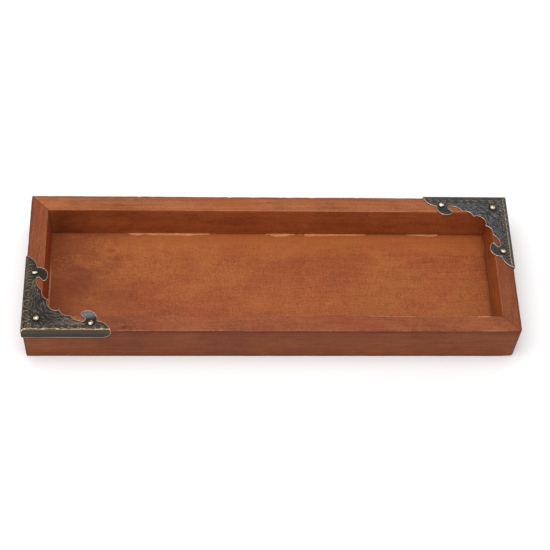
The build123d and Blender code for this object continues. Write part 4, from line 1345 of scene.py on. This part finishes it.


# each nail's oval, turn, flatness, and the place and size of its dimple with the painted dark reflection
ASKEW = [
    (0.95, 0.4, 0.95, (-0.30, 0.30, 0.50)),
    (0.90, 0.9, 0.95, (-0.34, 0.28, 0.52)),
    (0.66, 0.05, 0.62, (-0.05, 0.55, 0.62)),
    (0.90, -0.2, 0.90, (0.10, 0.20, 0.40)),
    (0.86, 0.1, 0.85, (0.45, 0.45, 0.42)),
    (0.80, -0.6, 0.80, (-0.10, 0.24, 0.42)),
]
count = 0
for where in ("front_left", "back_right"):
    for which, (u, v_) in zip(("corner", "long_arm", "short_arm"), NAILS[where]):
        x_, y_ = (-HX + u, -HY + v_) if where == "front_left" else (HX - u, HY - v_)
        count += 1
        make_nail(f"brass_nail_{where}_{which}", (x_, y_), count, f"nail_{where}_{which}", *ASKEW[count - 1])


# ---------------------------------------------------------------- pins keep their solids
for node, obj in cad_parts.items():
    if node.startswith(("mitre_pin", "panel_pin")):
        obj.data.materials.clear()
        obj.data.materials.append(steel)


# ---------------------------------------------------------------- stage, light, camera
def floor_material():
    g = Nodes("studio_paper")
    p = g.mapping(g.coords(), scale=(1000, 1000, 1000))
    soft = g.noise(p, 0.01, 2.0, 0.5)
    g.set(Base_Color=g.ramp(soft, [(0.3, (0.91, 0.91, 0.91)), (0.7, (0.93, 0.93, 0.93))]), Roughness=0.9, Specular_IOR_Level=0.1)
    return g.mat


mesh = bpy.data.meshes.new("studio_floor")
S = 6.0
mesh.from_pydata([(-S, -S, 0), (S, -S, 0), (S, S, 0), (-S, S, 0)], [], [(0, 1, 2, 3)])
mesh.materials.append(floor_material())
floor = bpy.data.objects.new("studio_floor", mesh)
bpy.context.scene.collection.objects.link(floor)

world = bpy.data.worlds.new("studio")
bpy.context.scene.world = world
world.use_nodes = True
background = world.node_tree.nodes["Background"]
background.inputs["Color"].default_value = (1.0, 1.0, 1.0, 1.0)
background.inputs["Strength"].default_value = 0.70


def area(name, at, towards, size, power, size_y=None):
    data = bpy.data.lights.new(name, "AREA")
    data.energy = power
    data.size = size
    if size_y:
        data.shape = "RECTANGLE"
        data.size_y = size_y
    obj = bpy.data.objects.new(name, data)
    bpy.context.scene.collection.objects.link(obj)
    obj.location = at
    obj.rotation_mode = "QUATERNION"
    obj.rotation_quaternion = (Vector(towards) - Vector(at)).to_track_quat("-Z", "Y")
    return obj


area("key_softbox", (-0.18, -0.14, 1.08), (0.0, 0.0, 0.0), 0.95, 8.6)

# Camera, fitted to the edges of the tray in the photograph.
FOCAL_PX, IMAGE = 1417.539, 550.0
YAW, PITCH, ROLL = 0.10700434, 1.00675410, -0.09398798
LOOK_AT, DISTANCE = (1.8453, 0.9908, 10.0), 651.128
F = Vector((math.sin(YAW) * math.cos(PITCH), math.cos(YAW) * math.cos(PITCH), -math.sin(PITCH)))
R = Vector((math.cos(YAW), -math.sin(YAW), 0.0))
D = F.cross(R)
R2 = R * math.cos(ROLL) + D * math.sin(ROLL)
D2 = R * -math.sin(ROLL) + D * math.cos(ROLL)
camera_data = bpy.data.cameras.new("camera")
camera_data.sensor_fit = "HORIZONTAL"
camera_data.sensor_width = 36.0
camera_data.lens = FOCAL_PX / IMAGE * 36.0
camera_data.clip_start, camera_data.clip_end = 0.01, 50.0
camera = bpy.data.objects.new("camera", camera_data)
bpy.context.scene.collection.objects.link(camera)
place = (Vector(LOOK_AT) - F * DISTANCE) * MM
basis = Matrix((R2, -D2, -F)).transposed()
camera.matrix_world = Matrix.Translation(place) @ basis.to_4x4()
bpy.context.scene.camera = camera

bpy.context.scene.view_settings.view_transform = "Standard"
bpy.context.scene.view_settings.look = "None"
